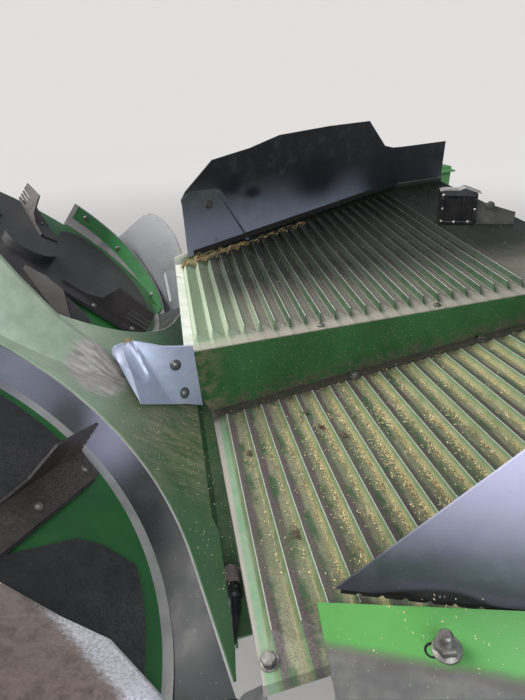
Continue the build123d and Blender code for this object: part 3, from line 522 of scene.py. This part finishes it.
def lap_finish():
    """Same coated sheet as the far plate, with its painted shade: dark higher up, bluer towards its
    foot.
    """
    f = Finish("lap_sheet", rough=0.42)
    mid, fine = f.mottle(26.0), f.fine()
    up = f.along((0, 0, 1), FOOT)
    # painted shade: darker higher up
    base = f.mix(f.remap(up, 0.24, 0.38), (0.2, 0.22, 0.28), (0.06, 0.068, 0.07))
    base = f.mix(f.remap(mid, 0.45, 0.75, 0.0, 0.25), base, (0.2, 0.22, 0.25))
    return f.coat(base, mid, fine, (0.34, 0.5), 0.25, 0.0005)


def soften(thing, width, segments, angle=30, slot=-1):
    # rounded edges, in the material of a slot or, with -1, of the faces beside them
    bevel = thing.modifiers.new("edges", "BEVEL")
    bevel.width, bevel.segments, bevel.limit_method = width, segments, "ANGLE"
    bevel.angle_limit, bevel.material = math.radians(angle), slot


def dress_nodes():
    # finish of each CAD node, the longest matching start of its name first
    finishes = {
        "pan_near": near_pan_finish(),
        "pan_far": far_pan_finish(),
        "pan_rib": enamel("under_enamel", dust=0.5),
        "divider_wall": wall_finish(),
        "nose_cap": plate_finish("nose_under", (0.36, 0.41, 0.5), (0.1, 0.12, 0.15)),
        "spreader_deck": deck_finish("deck_enamel"),
        "centre_ridge": deck_finish("ridge_enamel"),
        "dish_floor": enamel("floor_enamel", (0.016, 0.135, 0.028), (0.01, 0.09, 0.02), dust=0.06),
        "dish_band": band_finish(),
        "skirt": plate_finish("skirt_sheet", (0.2, 0.185, 0.19), (0.04, 0.04, 0.04)),
        "stiffener": enamel("strip_enamel", (0.012, 0.13, 0.03), GREEN_DEEP, dust=0.15),
        "guard": plate_finish("guard_sheet", (0.12, 0.125, 0.135), (0.04, 0.04, 0.045)),
        "rotor_disc": rotor_finish("disc_steel", (0.027, 0.027, 0.029), (0.085, 0.078, 0.078), 0.4),
        "bat": rotor_finish("bat_steel", (0.05, 0.04, 0.038), (0.12, 0.095, 0.088), 0.6),
        "bat_far": rotor_finish("far_bat_steel", (0.02, 0.018, 0.018), (0.075, 0.062, 0.058), 0.6),
        "bat_near_2": rotor_finish("tall_bat_steel", (0.25, 0.195, 0.17), (0.42, 0.35, 0.31), 0.6, 0.4,
                                   (at(-226, -603, 210), Vector((156, 0, 40)).normalized())),
        "bat_near_3": rotor_finish("tall_bat_worn", (0.2, 0.16, 0.145), (0.36, 0.3, 0.27), 0.6, 0.4),
        "rotor_motor": coated("motor_grey", (0.03, 0.03, 0.03), (0.06, 0.055, 0.05), 0.5),
        "side_plate_far": far_plate_finish(),
        "side_plate_near": near_plate_finish(),
        # near-black seal: its rubber, and painted shade in the gap over the bracket
        "seal": coated("seal_rubber_and_shade", (0.006, 0.006, 0.006), (0.014, 0.013, 0.012), 0.8),
        "side_bracket": bracket_finish(),
        "guide_rod": coated("ground_rod", (0.5, 0.5, 0.48), (0.36, 0.36, 0.35), 0.3, 1.0),
    }
    frame_finish = enamel("frame_enamel", dust=0.4)
    # pale edge bevels: partly rubbed paint, partly painted highlight
    worn_edge_and_highlight = coated("worn_edge_and_highlight", (0.4, 0.42, 0.4), (0.52, 0.54, 0.52), 0.35, 0.3)
    rubbed_edge = coated("rubbed_edge", (0.5, 0.47, 0.46), (0.68, 0.66, 0.65), 0.35, 0.3)
    # near-black bevels round the disc: painted shade of its edge over the floor
    disc_rim_shade = coated("disc_rim_shade", (0.006, 0.006, 0.007), (0.014, 0.014, 0.016), 0.4)
    for name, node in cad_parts.items():
        starts = [key for key in finishes if name.startswith(key)]
        node.data.materials.clear()
        node.data.materials.append(finishes[max(starts, key=len)] if starts else frame_finish)
        disc, bat = name.startswith("rotor_disc"), name.startswith("bat")
        node.data.materials.append(disc_rim_shade if disc else rubbed_edge if bat else worn_edge_and_highlight)
        plain = name.startswith(("rotor_motor", "seal", "pan_rib", "guide_rod", "cross", "rail"))
        soften(node, 0.0018 if disc else 0.0013 if bat else 0.0007, 2, 40, -1 if plain else 1)


# pieces

RIDGE_H = 0.013
RIDGES = {"near": 19, "far": 23}


def ring(center, side, other, radius, sides, turn=0.0):
    angles = [turn + 2 * math.pi * k / sides for k in range(sides)]
    return [center + (side * math.cos(a) + other * math.sin(a)) * radius for a in angles]


class Shape:
    """Corners and faces of one piece, added part by part."""

    def __init__(self):
        self.verts, self.faces = [], []

    def add(self, verts, faces):
        start = len(self.verts)
        self.verts += verts
        self.faces += [tuple(start + i for i in face) for face in faces]

    def tube(self, rings, sides):
        # walls between rings of corners, closed at both ends
        self.add([corner for ring in rings for corner in ring],
                 [tuple(range(sides))[::-1], tuple(range((len(rings) - 1) * sides, len(rings) * sides))]
                 + [(j * sides + i, j * sides + (i + 1) % sides, (j + 1) * sides + (i + 1) % sides,
                     (j + 1) * sides + i) for j in range(len(rings) - 1) for i in range(sides)])

    def lathe(self, spot, axis, profile, sides=20, turn=0.0):
        # rings of (radius, height) about an axis
        side = axis.orthogonal().normalized()
        other = axis.cross(side)
        self.tube([ring(spot + axis * height, side, other, radius, sides, turn)
                   for radius, height in profile], sides)

    def rod(self, points, radii, sides=4, flat=1.0):
        # tube along points, with a radius at each
        rings = []
        for i, point in enumerate(points):
            ahead = (points[min(i + 1, len(points) - 1)] - points[max(i - 1, 0)]).normalized()
            side = ahead.cross(Vector((0.31, 0.52, 0.8))).normalized()
            rings.append(ring(point, side, ahead.cross(side) * flat, radii[i], sides))
        self.tube(rings, sides)

    def loop(self, low, high, sizes):
        # block between two frames, each given as a centre and two half sides
        rings = []
        for (center, a, b), grow in zip((low, high), sizes):
            a, b = a * grow, b * grow
            rings.append([center - a - b, center + a - b, center + a + b, center - a + b])
        self.tube(rings, 4)

    def sheet(self, rows, thick):
        # closed sheet from rows of points, thickened behind its face
        count, width = len(rows), len(rows[0])
        back = []
        for i in range(count):
            for j in range(width):
                a = rows[min(i + 1, count - 1)][j] - rows[max(i - 1, 0)][j]
                b = rows[i][min(j + 1, width - 1)] - rows[i][max(j - 1, 0)]
                back.append(rows[i][j] - a.cross(b).normalized() * thick)
        size = count * width
        faces = []
        for i in range(count - 1):
            for j in range(width - 1):
                a, d = i * width + j, (i + 1) * width + j
                b, c = a + 1, d + 1
                faces += [(a, d, c, b), (size + a, size + b, size + c, size + d)]
        border = list(range(width - 1))
        border += [i * width + width - 1 for i in range(count - 1)]
        border += [(count - 1) * width + j for j in range(width - 1, 0, -1)]
        border += [i * width for i in range(count - 1, 0, -1)]
        for a, b in zip(border, border[1:] + border[:1]):
            faces.append((a, b, size + b, size + a))
        self.add([point for row in rows for point in row] + back, faces)

    def grain(self, spot, ahead, up, long, wide, thick):
        # pointed husk
        across = up.cross(ahead).normalized() * wide / 2
        ahead = ahead * long / 2
        self.add([spot + ahead, spot + across, spot - ahead, spot - across, spot + up * thick,
                  spot - up * thick * 0.3],
                 [(0, 1, 4), (1, 2, 4), (2, 3, 4), (3, 0, 4),
                  (1, 0, 5), (2, 1, 5), (3, 2, 5), (0, 3, 5)])


def piece(name, shape, finish, body, smooth=True, sharp=32):
    mesh = bpy.data.meshes.new(name)
    mesh.from_pydata([tuple(v) for v in shape.verts], [], shape.faces)
    mesh.update()
    mesh.materials.append(finish)
    for polygon in mesh.polygons:
        polygon.use_smooth = smooth
    if smooth:
        mesh.set_sharp_from_angle(angle=math.radians(sharp))
    thing = bpy.data.objects.new(name, mesh)
    scene.collection.objects.link(thing)
    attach(thing, body)
    return thing


def over_pan(side, x, y, lift=0.0):
    # place over a pan's plane: past the foot, across, above the plane
    return Vector((FOOT.x + x, y, pan_z(side, FOOT.x + x, y) + lift))


def on_pan(side, s, y, height=0.0):
    # place on the ridged face: past the first ridge, across, above the steel
    rise, tilt, step, pitch, first = PANS[side]
    base = FOOT + Vector((1, 0, rise)).normalized() * (s + first)
    point = Vector((base.x, y, pan_z(side, base.x, y)))
    phase = (s / pitch) % 1.0
    lift = 0.0
    if -0.2 * pitch < s < (RIDGES[side] - 0.26) * pitch:
        lift = RIDGE_H * max(1 - phase / 0.74, 0, (phase - 0.8) / 0.2)
    return point + pan_normal(side) * (lift + height)


def on_plate(side, x, z, off=0.0):
    # place on a side plate's inner face, far 1 or near -1: past the foot, above it, off the steel
    inward = Vector((SIDE_M, -side, 0)).normalized()
    return FOOT + Vector((x, side * (SIDE_A + SIDE_M * x), z)) + inward * off


# fasteners: rings of (radius, height)
DOME = ((0.0086, -0.001), (0.0086, 0.0006), (0.0074, 0.0009), (0.0071, 0.0024), (0.0056, 0.0044),
        (0.003, 0.0055), (0.0008, 0.0058))
WASHER = ((0.0125, -0.001), (0.0125, 0.0014), (0.0119, 0.0018), (0.004, 0.0018))
HEX = ((0.0098, 0.0016), (0.0098, 0.0068), (0.0088, 0.0078), (0.0032, 0.008))
FLANGE = ((0.0155, -0.001), (0.0155, 0.0022), (0.0145, 0.003), (0.0115, 0.0055))
NUT = ((0.0132, 0.0035), (0.0132, 0.0115), (0.012, 0.013), (0.0072, 0.0132))
THREAD = tuple((0.0066 + 0.0006 * (k % 2), 0.012 + 0.0011 * k) for k in range(12)) + ((0.0052, 0.0262),)

# each bat's turn about its rotor, in degrees
BAT_TURNS = {"near": (62, 2, 182, 242), "far": (-10, -52, 118, 172)}


def fasten(shape, kind, spot, axis, size=1.0):
    axis = axis.normalized()
    turn = rng.uniform(0, 1)
    if kind == "dome":
        shape.lathe(spot, axis, [(r * size, h * size) for r, h in DOME])
    elif kind == "bolt":
        shape.lathe(spot, axis, WASHER, 24)
        shape.lathe(spot, axis, HEX, 6, turn)
    else:
        shape.lathe(spot, axis, FLANGE, 28)
        shape.lathe(spot, axis, NUT, 6, turn)
        shape.lathe(spot, axis, THREAD, 16)


def make_fasteners():
    bright = coated("bolt_zinc", (0.3, 0.29, 0.27), (0.14, 0.13, 0.115), 0.42, 0.7, 60.0)
    dull = coated("bolt_dull", (0.085, 0.08, 0.072), (0.2, 0.19, 0.17), 0.45, 0.6, 60.0)
    up_near, up_far = pan_normal("near"), pan_normal("far")
    inward = Vector((SIDE_M, -1, 0))
    rows = {
        # body, finish, then kind, place and direction of each
        "bolts_pan": ("pan", dull, [
            ("dome", over_pan("far", 0.216, 0.014), up_far),
            ("dome", over_pan("far", 0.483, 0.014), up_far),
            ("bolt", over_pan("near", 0.289, -0.02, 0.003), up_near),
            ("bolt", over_pan("near", 0.588, -0.016, 0.003), up_near)]),
        "washer_bolt_pan": ("pan", bright, [
            ("bolt", over_pan("near", -0.018, -0.588), up_near)]),
        "bolts_plates": ("frame", dull, [
            ("bolt", on_plate(1, 0.031, 0.339, 0.0016), inward),
            ("bolt", on_plate(-1, 0.24, 0.3, 0.0), Vector((SIDE_M, 1, 0)))]),
        "stud_bracket": ("frame", bright, [("stud", STUD, STUD_AXIS)]),
    }
    for name, (body, finish, table) in rows.items():
        shape = Shape()
        for kind, spot, axis in table:
            fasten(shape, kind, spot, axis)
        piece(name, shape, finish, body)
    strip = Shape()
    for side in ("near", "far"):
        turn = -1 if side == "near" else 1
        for angle, off in ((78, 0.025), (58, 0.004), (27, -0.028)):
            a = math.radians(angle)
            out = DECK_U * math.cos(a) + ACROSS * math.sin(a) * turn
            fasten(strip, "dome", ROTOR[side] + out * 0.437 + DECK_N * off, -out)
    piece("domes_strip", strip, dull, "frame")
    for side, body in (("near", "rotor_right"), ("far", "rotor_left")):
        shape = Shape()
        drop = FAR_DROP if side == "far" else 0.0
        for turn in BAT_TURNS[side]:
            turn = math.radians(turn)
            for a, b in ((0.353, -0.109), (0.235, -0.109)):
                u = a * math.cos(turn) - b * math.sin(turn)
                v = a * math.sin(turn) + b * math.cos(turn)
                fasten(shape, "dome", on_deck(side, u, v, 0.004 - drop), DECK_N)
        piece("bolts_" + body, shape, dull, body)


# nose: behind the foot, top, half width at the lower edge, lower edge's height
NOSE_ROWS = ((48.7, 163, 4.6, 18), (81, 165, 31, 43), (107.8, 168, 54, 61.5), (160.7, 186, 112, 108),
             (176.5, 190, 78, 128), (191, 186, 44, 147.5), (202, 181, 18, 162), (208, 174, 6, 167))
NOSE_LEAN = 0.07
NOSE_OUT = Vector((0.35, -0.62, 0.7)).normalized()
# the share of the way from the wall to the tip where the side turns in
CREASE = 0.66
# pressed hollow: its two ends, radius, taper along it and depth
HOLLOW = ((-195, -15, 180), (-163, -52, 138), 0.022, 0.0065, 0.0075)


def nose_rail(k, high):
    i = min(int(k), len(NOSE_ROWS) - 2)
    x, top, half, low = [a + (b - a) * (k - i) for a, b in zip(NOSE_ROWS[i], NOSE_ROWS[i + 1])]
    z = top if high else low
    return at(-x - NOSE_LEAN * z, -2.6 if high else -half, z)


def nose_point(q, t):
    # q from the wall to the tip, t from the lower edge to the top; the near side. The crease
    # meets the lower edge at row 3 and the top at row 4.6, and row 7 is the tip
    if q < CREASE:
        low, high = q / CREASE * 3, q / CREASE * 4.6
    else:
        r = (q - CREASE) / (1 - CREASE)
        low, high = 3 + 4 * r, 4.6 + 2.4 * r
    point = nose_rail(low, False).lerp(nose_rail(high, True), t)
    start, end, radius, taper, depth = HOLLOW
    a, b = at(*start), at(*end)
    w = min(max((point - a).dot(b - a) / (b - a).length_squared, 0.0), 1.0)
    away = point - a.lerp(b, w)
    away -= NOSE_OUT * away.dot(NOSE_OUT)
    share = 1 - (away.length / (radius - taper * w)) ** 2
    if share > 0:
        point = point - NOSE_OUT * depth * share ** 0.75
    return point


def make_nose():
    rows, along, up = [], 71, 40
    for i in range(along + 1):
        near = [nose_point(i / along, j / up) for j in range(up + 1)]
        far = [Vector((p.x, -p.y, p.z)) for p in near]
        rows.append(far + near[::-1])
    shape = Shape()
    shape.sheet(rows, 0.0025)
    nose = piece("nose_sheet", shape, nose_finish(), "pan", sharp=38)
    nose.data.materials.append(coated("nose_edge", (0.5, 0.53, 0.6), (0.36, 0.38, 0.44), 0.35, 0.4))
    soften(nose, 0.0009, 2, 50, 1)
    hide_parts("nose_cap")
    domes = Shape()
    for q, t in ((0.215, 0.69), (0.205, 0.2)):
        spot = nose_point(q, t)
        axis = (nose_point(q + 0.01, t) - nose_point(q - 0.01, t)).cross(
            nose_point(q, t - 0.02) - nose_point(q, t + 0.02))
        for side in (1, -1):
            fasten(domes, "dome", Vector((spot.x, spot.y * side, spot.z)),
                   Vector((axis.x, axis.y * side, axis.z)), 1.4)
    piece("domes_nose", domes, coated("dome_dull", (0.11, 0.115, 0.11), (0.2, 0.2, 0.19), 0.36, 0.75),
          "pan")


# loose chaff

def any_way(up):
    side = up.orthogonal().normalized()
    return Matrix.Rotation(rng.uniform(0, 2 * math.pi), 3, up) @ side


def add_grain(shape, spot, up, long):
    up = (up + Vector([rng.uniform(-0.3, 0.3) for _ in range(3)])).normalized()
    shape.grain(spot, any_way(up), up, long, long * rng.uniform(0.28, 0.5),
                long * rng.uniform(0.1, 0.22))


def add_straw(shape, spot, ahead, up, long, radius=0.0007):
    ahead = ahead.normalized()
    bend = up.cross(ahead) * rng.uniform(-0.16, 0.16) * long + up * rng.uniform(0.0, 0.12) * long
    points = [spot - ahead * long / 2, spot + bend * 0.7, spot + ahead * long * 0.2 + bend,
              spot + ahead * long / 2]
    shape.rod(points, [radius, radius * 1.1, radius, radius * 0.7], 4, 0.6)


def litter(name, shape, tones, body, rough=0.7):
    piece(name, shape, coated(*tones, rough), body, smooth=False)


NEAR_GRAINS, NEAR_STRAWS, FAR_GRAINS, DECK_GRAINS, BRACKET_GRAINS = 15000, 150, 1500, 420, 46
DISH_R = 0.455


def make_near_chaff():
    pale, tan = Shape(), Shape()
    up, pitch, count = pan_normal("near"), PANS["near"][3], 0
    while count < NEAR_GRAINS:
        s = rng.uniform(0.0, 0.69)
        y = rng.uniform(-(SIDE_A + SIDE_M * s) + 0.03, -0.03)
        # most lies past the tail and off the wall, in drifts
        rich = math.exp(-((s - 0.27) / 0.17) ** 2) * (0.12 + 0.88 * min(max((-y - 0.08) / 0.16, 0), 1))
        drift = math.sin(41 * s + 23 * y + 2 * math.sin(17 * y)) * math.sin(37 * y - 13 * s)
        clump = 0.45 + 0.55 * drift
        if rng.random() > max(rich, 0.05) * max(clump, 0.08) * 1.2:
            continue
        count += 1
        ridge = int(s / pitch)
        phase = rng.triangular(0.46, 0.96, 0.76) if rng.random() < 0.86 else rng.uniform(0.05, 0.95)
        spot = on_pan("near", (ridge + phase) * pitch, y, rng.uniform(0.0, 0.0012))
        add_grain(pale if rng.random() < 0.72 else tan, spot, up, rng.uniform(0.0022, 0.0055))
    for _ in range(NEAR_STRAWS):
        s, y = rng.gauss(0.24, 0.15), rng.uniform(-0.6, -0.06)
        if 0.01 < s < 0.6 and -y < SIDE_A + SIDE_M * s - 0.04:
            ridge = int(s / pitch)
            spot = on_pan("near", (ridge + rng.uniform(0.6, 0.8)) * pitch, y, 0.0012)
            ahead = Vector((rng.uniform(-0.5, 0.5), 1, -0.07))
            add_straw(tan, spot, ahead, up, rng.uniform(0.008, 0.022))
    litter("chaff_pale", pale, ("husk_pale", (0.72, 0.62, 0.34), (0.5, 0.4, 0.19)), "pan")
    litter("chaff_tan", tan, ("husk_tan", (0.36, 0.26, 0.13), (0.22, 0.15, 0.075)), "pan", 0.75)


def make_far_chaff():
    fine, up = Shape(), pan_normal("far")
    for _ in range(FAR_GRAINS):
        s = rng.uniform(-0.01, 0.95)
        y = rng.uniform(0.02, SIDE_A + SIDE_M * (s - 0.05) - 0.03)
        add_grain(fine, on_pan("far", s, y, 0.0004), up, rng.uniform(0.0018, 0.0045))
    litter("chaff_far", fine, ("husk_grey", (0.34, 0.3, 0.2), (0.2, 0.17, 0.11)), "pan", 0.75)


def make_frame_chaff():
    still = Shape()
    for _ in range(DECK_GRAINS):
        u, v = rng.uniform(0.28, 0.52), rng.uniform(-0.46, 0.0)
        spot = ROTOR["far"] + DECK_U * u + DECK_N * (DECK_TOP + 0.0003)
        spot.y = v
        if math.hypot(u, v - ROTOR["near"].y) > DISH_R:
            add_grain(still, spot, DECK_N, rng.uniform(0.0018, 0.004))
    plane = pan_normal("near")
    for _ in range(BRACKET_GRAINS):
        x, y = rng.uniform(0.075, 0.24), rng.uniform(-0.69, -0.59)
        off_x, off_y = x - STUD_FROM_FOOT.x, y - STUD_FROM_FOOT.y
        spot = STUD + Vector((off_x, off_y, 0))
        spot -= plane * (spot - STUD).dot(plane) - plane * 0.0003
        if off_y > -off_x * 0.55 - 0.02:
            add_grain(still, spot, plane, rng.uniform(0.002, 0.0042))
    litter("chaff_frame", still, ("husk_green", (0.6, 0.58, 0.34), (0.4, 0.4, 0.24)), "frame")


def make_straw():
    pile, up = Shape(), pan_normal("far")
    for k in range(230):
        x = -0.055 + 0.2 * rng.random() ** 1.25 if k < 160 else rng.uniform(0.1, 0.36)
        heap = max(0.0, 1 - abs(x - 0.02) / 0.12)
        y = SIDE_A + SIDE_M * x - rng.uniform(0.019, 0.024 + 0.03 * heap)
        spot = on_pan("far", x + 0.048, y, 0.001 + rng.random() * 0.022 * heap)
        stray = Vector((rng.uniform(-1, 1), rng.uniform(-0.6, 0.6), 0.3))
        ahead = Vector((1, SIDE_M, 0)) + stray * 0.75
        add_straw(pile, spot, ahead, up, rng.uniform(0.01, 0.03), rng.uniform(0.0007, 0.0015))
    for k in range(16):
        spot = at(-186 + rng.uniform(-7, 7), rng.uniform(-3, 3), 188)
        ahead = Vector((rng.uniform(-1, 1), rng.uniform(-1, 1), rng.uniform(0.1, 1.2)))
        add_straw(pile, spot, ahead, Vector((0, 0, 1)), rng.uniform(0.006, 0.016), 0.0008)
    piece("straw_pile", pile, coated("straw", (0.5, 0.36, 0.16), (0.25, 0.15, 0.06), 0.7), "pan")
    clumps, up = Shape(), pan_normal("near")
    for s, y, wide in ((0.0585, -0.4125, 0.009), (0.15, -0.124, 0.006), (0.2, -0.224, 0.005),
                       (0.17, -0.176, 0.005), (0.025, -0.19, 0.005)):
        for _ in range(60):
            spot = on_pan("near", s + rng.gauss(0, wide * 0.5), y + rng.gauss(0, wide * 0.8),
                          abs(rng.gauss(0, wide * 0.3)))
            add_grain(clumps, spot, up, rng.uniform(0.004, 0.009))
    litter("debris", clumps, ("debris_dark", (0.075, 0.05, 0.032), (0.15, 0.11, 0.07)), "pan", 0.8)


def make_sensor():
    """Black control box on the front of the far pan, with its metal strip and side plate."""
    base, right = at(784, 494, 250), Vector((0.105, -0.04, 0.0)).normalized()
    up = pan_normal("far")
    back = up.cross(right).normalized()
    box, trim, grey = Shape(), Shape(), Shape()
    half_w, half_d, tall = 0.052, 0.03, 0.094
    box.loop((base - up * 0.004, right * half_w, back * half_d),
             (base + up * tall, right * half_w, back * half_d), (1, 1))
    # raised rims on its face: across, up, half width, half height
    for u, h, du, dh in ((0, 0.088, 0.05, 0.005), (0, 0.008, 0.05, 0.005), (-0.046, 0.048, 0.005, 0.036),
                         (0.046, 0.048, 0.005, 0.036), (0.012, 0.05, 0.003, 0.035)):
        spot = base + right * u + up * h - back * half_d
        box.loop((spot, right * du, up * dh), (spot - back * 0.005, right * du, up * dh), (1, 0.92))
    for u, h in ((-0.046, 0.09), (-0.046, 0.05), (-0.046, 0.012), (-0.01, 0.01), (0.03, 0.012),
                 (0.046, 0.05)):
        fasten(trim, "dome", base + right * u + up * h - back * 0.034, -back, 0.5)
    line = ((-0.056, 0.0), (-0.04, 0.003), (0.0, 0.003), (0.012, 0.011), (0.03, 0.005), (0.06, -0.006))
    for shift in (0.0, 0.017):
        trim.sheet([[base + right * u + up * (h + 0.1) + back * (shift - 0.032 + w)
                     for w in (0.0, 0.004, 0.008, 0.012)] for u, h in line], -0.0022)
    grey.sheet([[base + right * u - back * (0.02 + 0.1 * u) + up * h
                 for h in (0.0, 0.03, 0.055 + 0.25 * (0.12 - u))]
                for u in (0.056, 0.075, 0.1, 0.13, 0.16)], 0.002)
    spot = base + right * 0.088 + up * 0.062 - back * half_d
    grey.lathe(spot, -back, ((0.012, 0), (0.012, 0.006), (0.009, 0.008), (0.005, 0.008), (0.004, 0.011)))
    black = coated("box_black", (0.008, 0.008, 0.009), (0.022, 0.02, 0.02), 0.35)
    zinc = coated("strip_zinc", (0.62, 0.58, 0.55), (0.3, 0.28, 0.26), 0.4, 0.3)
    dull = coated("plate_grey", (0.06, 0.062, 0.058), (0.1, 0.095, 0.085), 0.55)
    soften(piece("sensor_box", box, black, "pan"), 0.0018, 3)
    piece("sensor_strip", trim, zinc, "pan")
    piece("sensor_plate", grey, dull, "pan")


def make_connector():
    """Plug in the gap behind the pan's tail: grey head, ribbed body and tapered boot."""
    way = [at(-41, -384, -44), at(-41.6, -416, -44.5), at(-42, -442, -45), at(-45, -466, -47),
           at(-51, -504, -51)]
    head, body = Shape(), Shape()
    head.rod([way[0], way[0].lerp(way[1], 0.08), way[0].lerp(way[1], 0.9), way[1]],
             [0.0105, 0.0125, 0.0125, 0.0118], 16)
    points, radii = [], []
    for i in range(25):
        k = i / 24 * 2.999
        p = way[1 + int(k)].lerp(way[2 + int(k)], k - int(k))
        points.append(p)
        size = 0.012 if k < 0.8 else 0.0085 if k < 1.6 else 0.0085 - 0.0066 * (k - 1.6) / 1.4
        radii.append(size + (0.0006 if k < 0.8 and i % 2 else 0))
    body.rod(points, radii, 16)
    # latch on its back
    latch, half = way[2] + Vector((-0.008, 0.016, 0.0)), (Vector((0.004, 0, 0)), Vector((0, 0.012, 0)))
    body.loop((latch + Vector((0, 0, 0.006)), *half), (latch + Vector((0, 0, 0.013)), *half), (1, 0.8))
    grey = coated("plug_grey", (0.2, 0.16, 0.15), (0.13, 0.11, 0.105), 0.6)
    black = coated("plug_black", (0.012, 0.012, 0.014), (0.03, 0.03, 0.034), 0.4)
    piece("connector_head", head, grey, "frame")
    piece("connector_boot", body, black, "frame")


def make_tail_lip():
    """Folded lip behind the tail member, under the deck's edge."""
    shape = Shape()
    profile = ((-43, -59.5), (-56, -60.5), (-72, -61.5), (-84, -62.5), (-87, -64), (-88.5, -68),
               (-88.5, -80))
    shape.sheet([[at(x, y, z) for x, z in profile] for y in (-400, -300, -200, -100, 0, 90, 170)], 0.002)
    dark = enamel("lip_enamel", GREEN_DEEP, (0.004, 0.03, 0.008), dust=0.15)
    piece("tail_lip", shape, dark, "frame")


def make_lap():
    """Doubled sheet on the rear of the far side plate, and the small holes nearby."""
    def low(x):
        return pan_z("far", FOOT.x + x, SIDE_A + SIDE_M * x) - FOOT.z + 0.0195
    outline = [(-0.04, low(-0.04)), (-0.0445, 0.35), (-0.0405, 0.366), (-0.032, 0.376), (-0.02, 0.3805),
               (0.053, 0.379), (0.066, 0.375), (0.094, 0.337), (0.149, 0.212), (0.151, low(0.151))]
    shape = Shape()
    rings = [[on_plate(1, x, z, off) for x, z in outline] for off in (-0.0004, 0.0017)]
    shape.tube(rings, len(outline))
    lap = piece("lap_plate", shape, lap_finish(), "frame", smooth=False)
    soften(lap, 0.0006, 2)
    # near-black discs for the holes: painted shade inside them
    dark = coated("hole_dark", (0.004, 0.004, 0.004), (0.012, 0.011, 0.01), 0.8)
    holes = Shape()
    holes.lathe(on_plate(1, 0.0453, 0.2363, 0.0017), Vector((SIDE_M, -1, 0)).normalized(),
                ((0.005, -0.001), (0.005, 0.0002), (0.0044, 0.0006), (0.0035, -0.0004)), 16)
    holes.lathe(STUD + Vector((-0.0135, 0.004, -0.0025)), pan_normal("near"),
                ((0.0085, -0.001), (0.0085, 0.0004), (0.0078, 0.0009), (0.006, -0.0004)), 20)
    piece("holes_frame", holes, dark, "frame")
    holes = Shape()
    holes.lathe(over_pan("far", -0.074, 0.397), pan_normal("far"),
                ((0.006, -0.001), (0.006, 0.0002), (0.0054, 0.0005), (0.004, -0.0004)), 16)
    piece("holes_pan", holes, dark, "pan")


SKY_LIGHT, SKY_SEEN = (0.84, 0.9, 1.0, 1), (0.76, 0.735, 0.72, 1)
FLOOR_HALF, FLOOR_Z = 9.0, -0.42
# seen directly the floor is darker than what it bounces, so no patch under a lamp burns out
FLOOR_SEEN = (0.25, 0.243, 0.238)
FLOOR_GLOW = (0.8, 0.775, 0.76, 1)


def make_world():
    """Pale plain sky, dimmer where it only lights."""
    world = bpy.data.worlds.new("world")
    scene.world = world
    world.use_nodes = True
    tree = world.node_tree
    background = tree.nodes["Background"]
    background.inputs[0].default_value = SKY_LIGHT
    background.inputs[1].default_value = 0.3
    seen = tree.nodes.new("ShaderNodeBackground")
    seen.inputs[0].default_value = SKY_SEEN
    seen.inputs[1].default_value = 1.0
    path = tree.nodes.new("ShaderNodeLightPath")
    mix = tree.nodes.new("ShaderNodeMixShader")
    tree.links.new(path.outputs["Is Camera Ray"], mix.inputs[0])
    tree.links.new(background.outputs[0], mix.inputs[1])
    tree.links.new(seen.outputs[0], mix.inputs[2])
    tree.links.new(mix.outputs[0], tree.nodes["World Output"].inputs["Surface"])


def make_floor():
    """Pale floor that fades into the sky far off and keeps the shadow close by."""
    mesh = bpy.data.meshes.new("floor")
    mesh.from_pydata([(x * FLOOR_HALF, y * FLOOR_HALF, FLOOR_Z)
                      for x, y in ((-1, -1), (1, -1), (1, 1), (-1, 1))], [], [(0, 1, 2, 3)])
    floor = bpy.data.objects.new("floor", mesh)
    scene.collection.objects.link(floor)
    f = Finish("floor_pale", rough=0.9)
    seen = f.node("ShaderNodeLightPath").outputs["Is Camera Ray"]
    pale = f.mix(f.noise(1.5, 5.0), (0.72, 0.7, 0.685), (0.82, 0.8, 0.785))
    glow = f.remap(f.distance((-0.9, 0.0, FLOOR_Z)), 0.9, 5.5, 0.2, 0.85)
    f.fill(f.shader, Base_Color=f.mix(seen, pale, FLOOR_SEEN), Emission_Color=FLOOR_GLOW,
           Emission_Strength=f.times(seen, glow))
    floor.data.materials.append(f.mat)


def area_light(name, spot, target, size, power, color):
    data = bpy.data.lights.new(name, "AREA")
    data.shape = "RECTANGLE"
    data.size, data.size_y = size
    data.energy, data.color = power, color
    light = bpy.data.objects.new(name, data)
    scene.collection.objects.link(light)
    light.location = spot
    light.rotation_euler = (Vector(target) - Vector(spot)).to_track_quat("-Z", "Y").to_euler()


make_camera()
make_world()
make_floor()
area_light("sky_rear", (-2.7, 0.8, 1.45), (-1.0, 0.0, 0.0), (2.0, 1.3), 98.0, (1.0, 0.985, 0.96))
area_light("sky_near", (-0.9, -2.1, 1.5), (-0.7, -0.5, 0.1), (1.6, 1.0), 44.0, (0.92, 0.95, 1.0))
scene.view_settings.view_transform = "Standard"
dress_nodes()
make_nose()
make_fasteners()
make_near_chaff()
make_far_chaff()
make_frame_chaff()
make_straw()
make_sensor()
make_connector()
make_lap()
make_tail_lip()
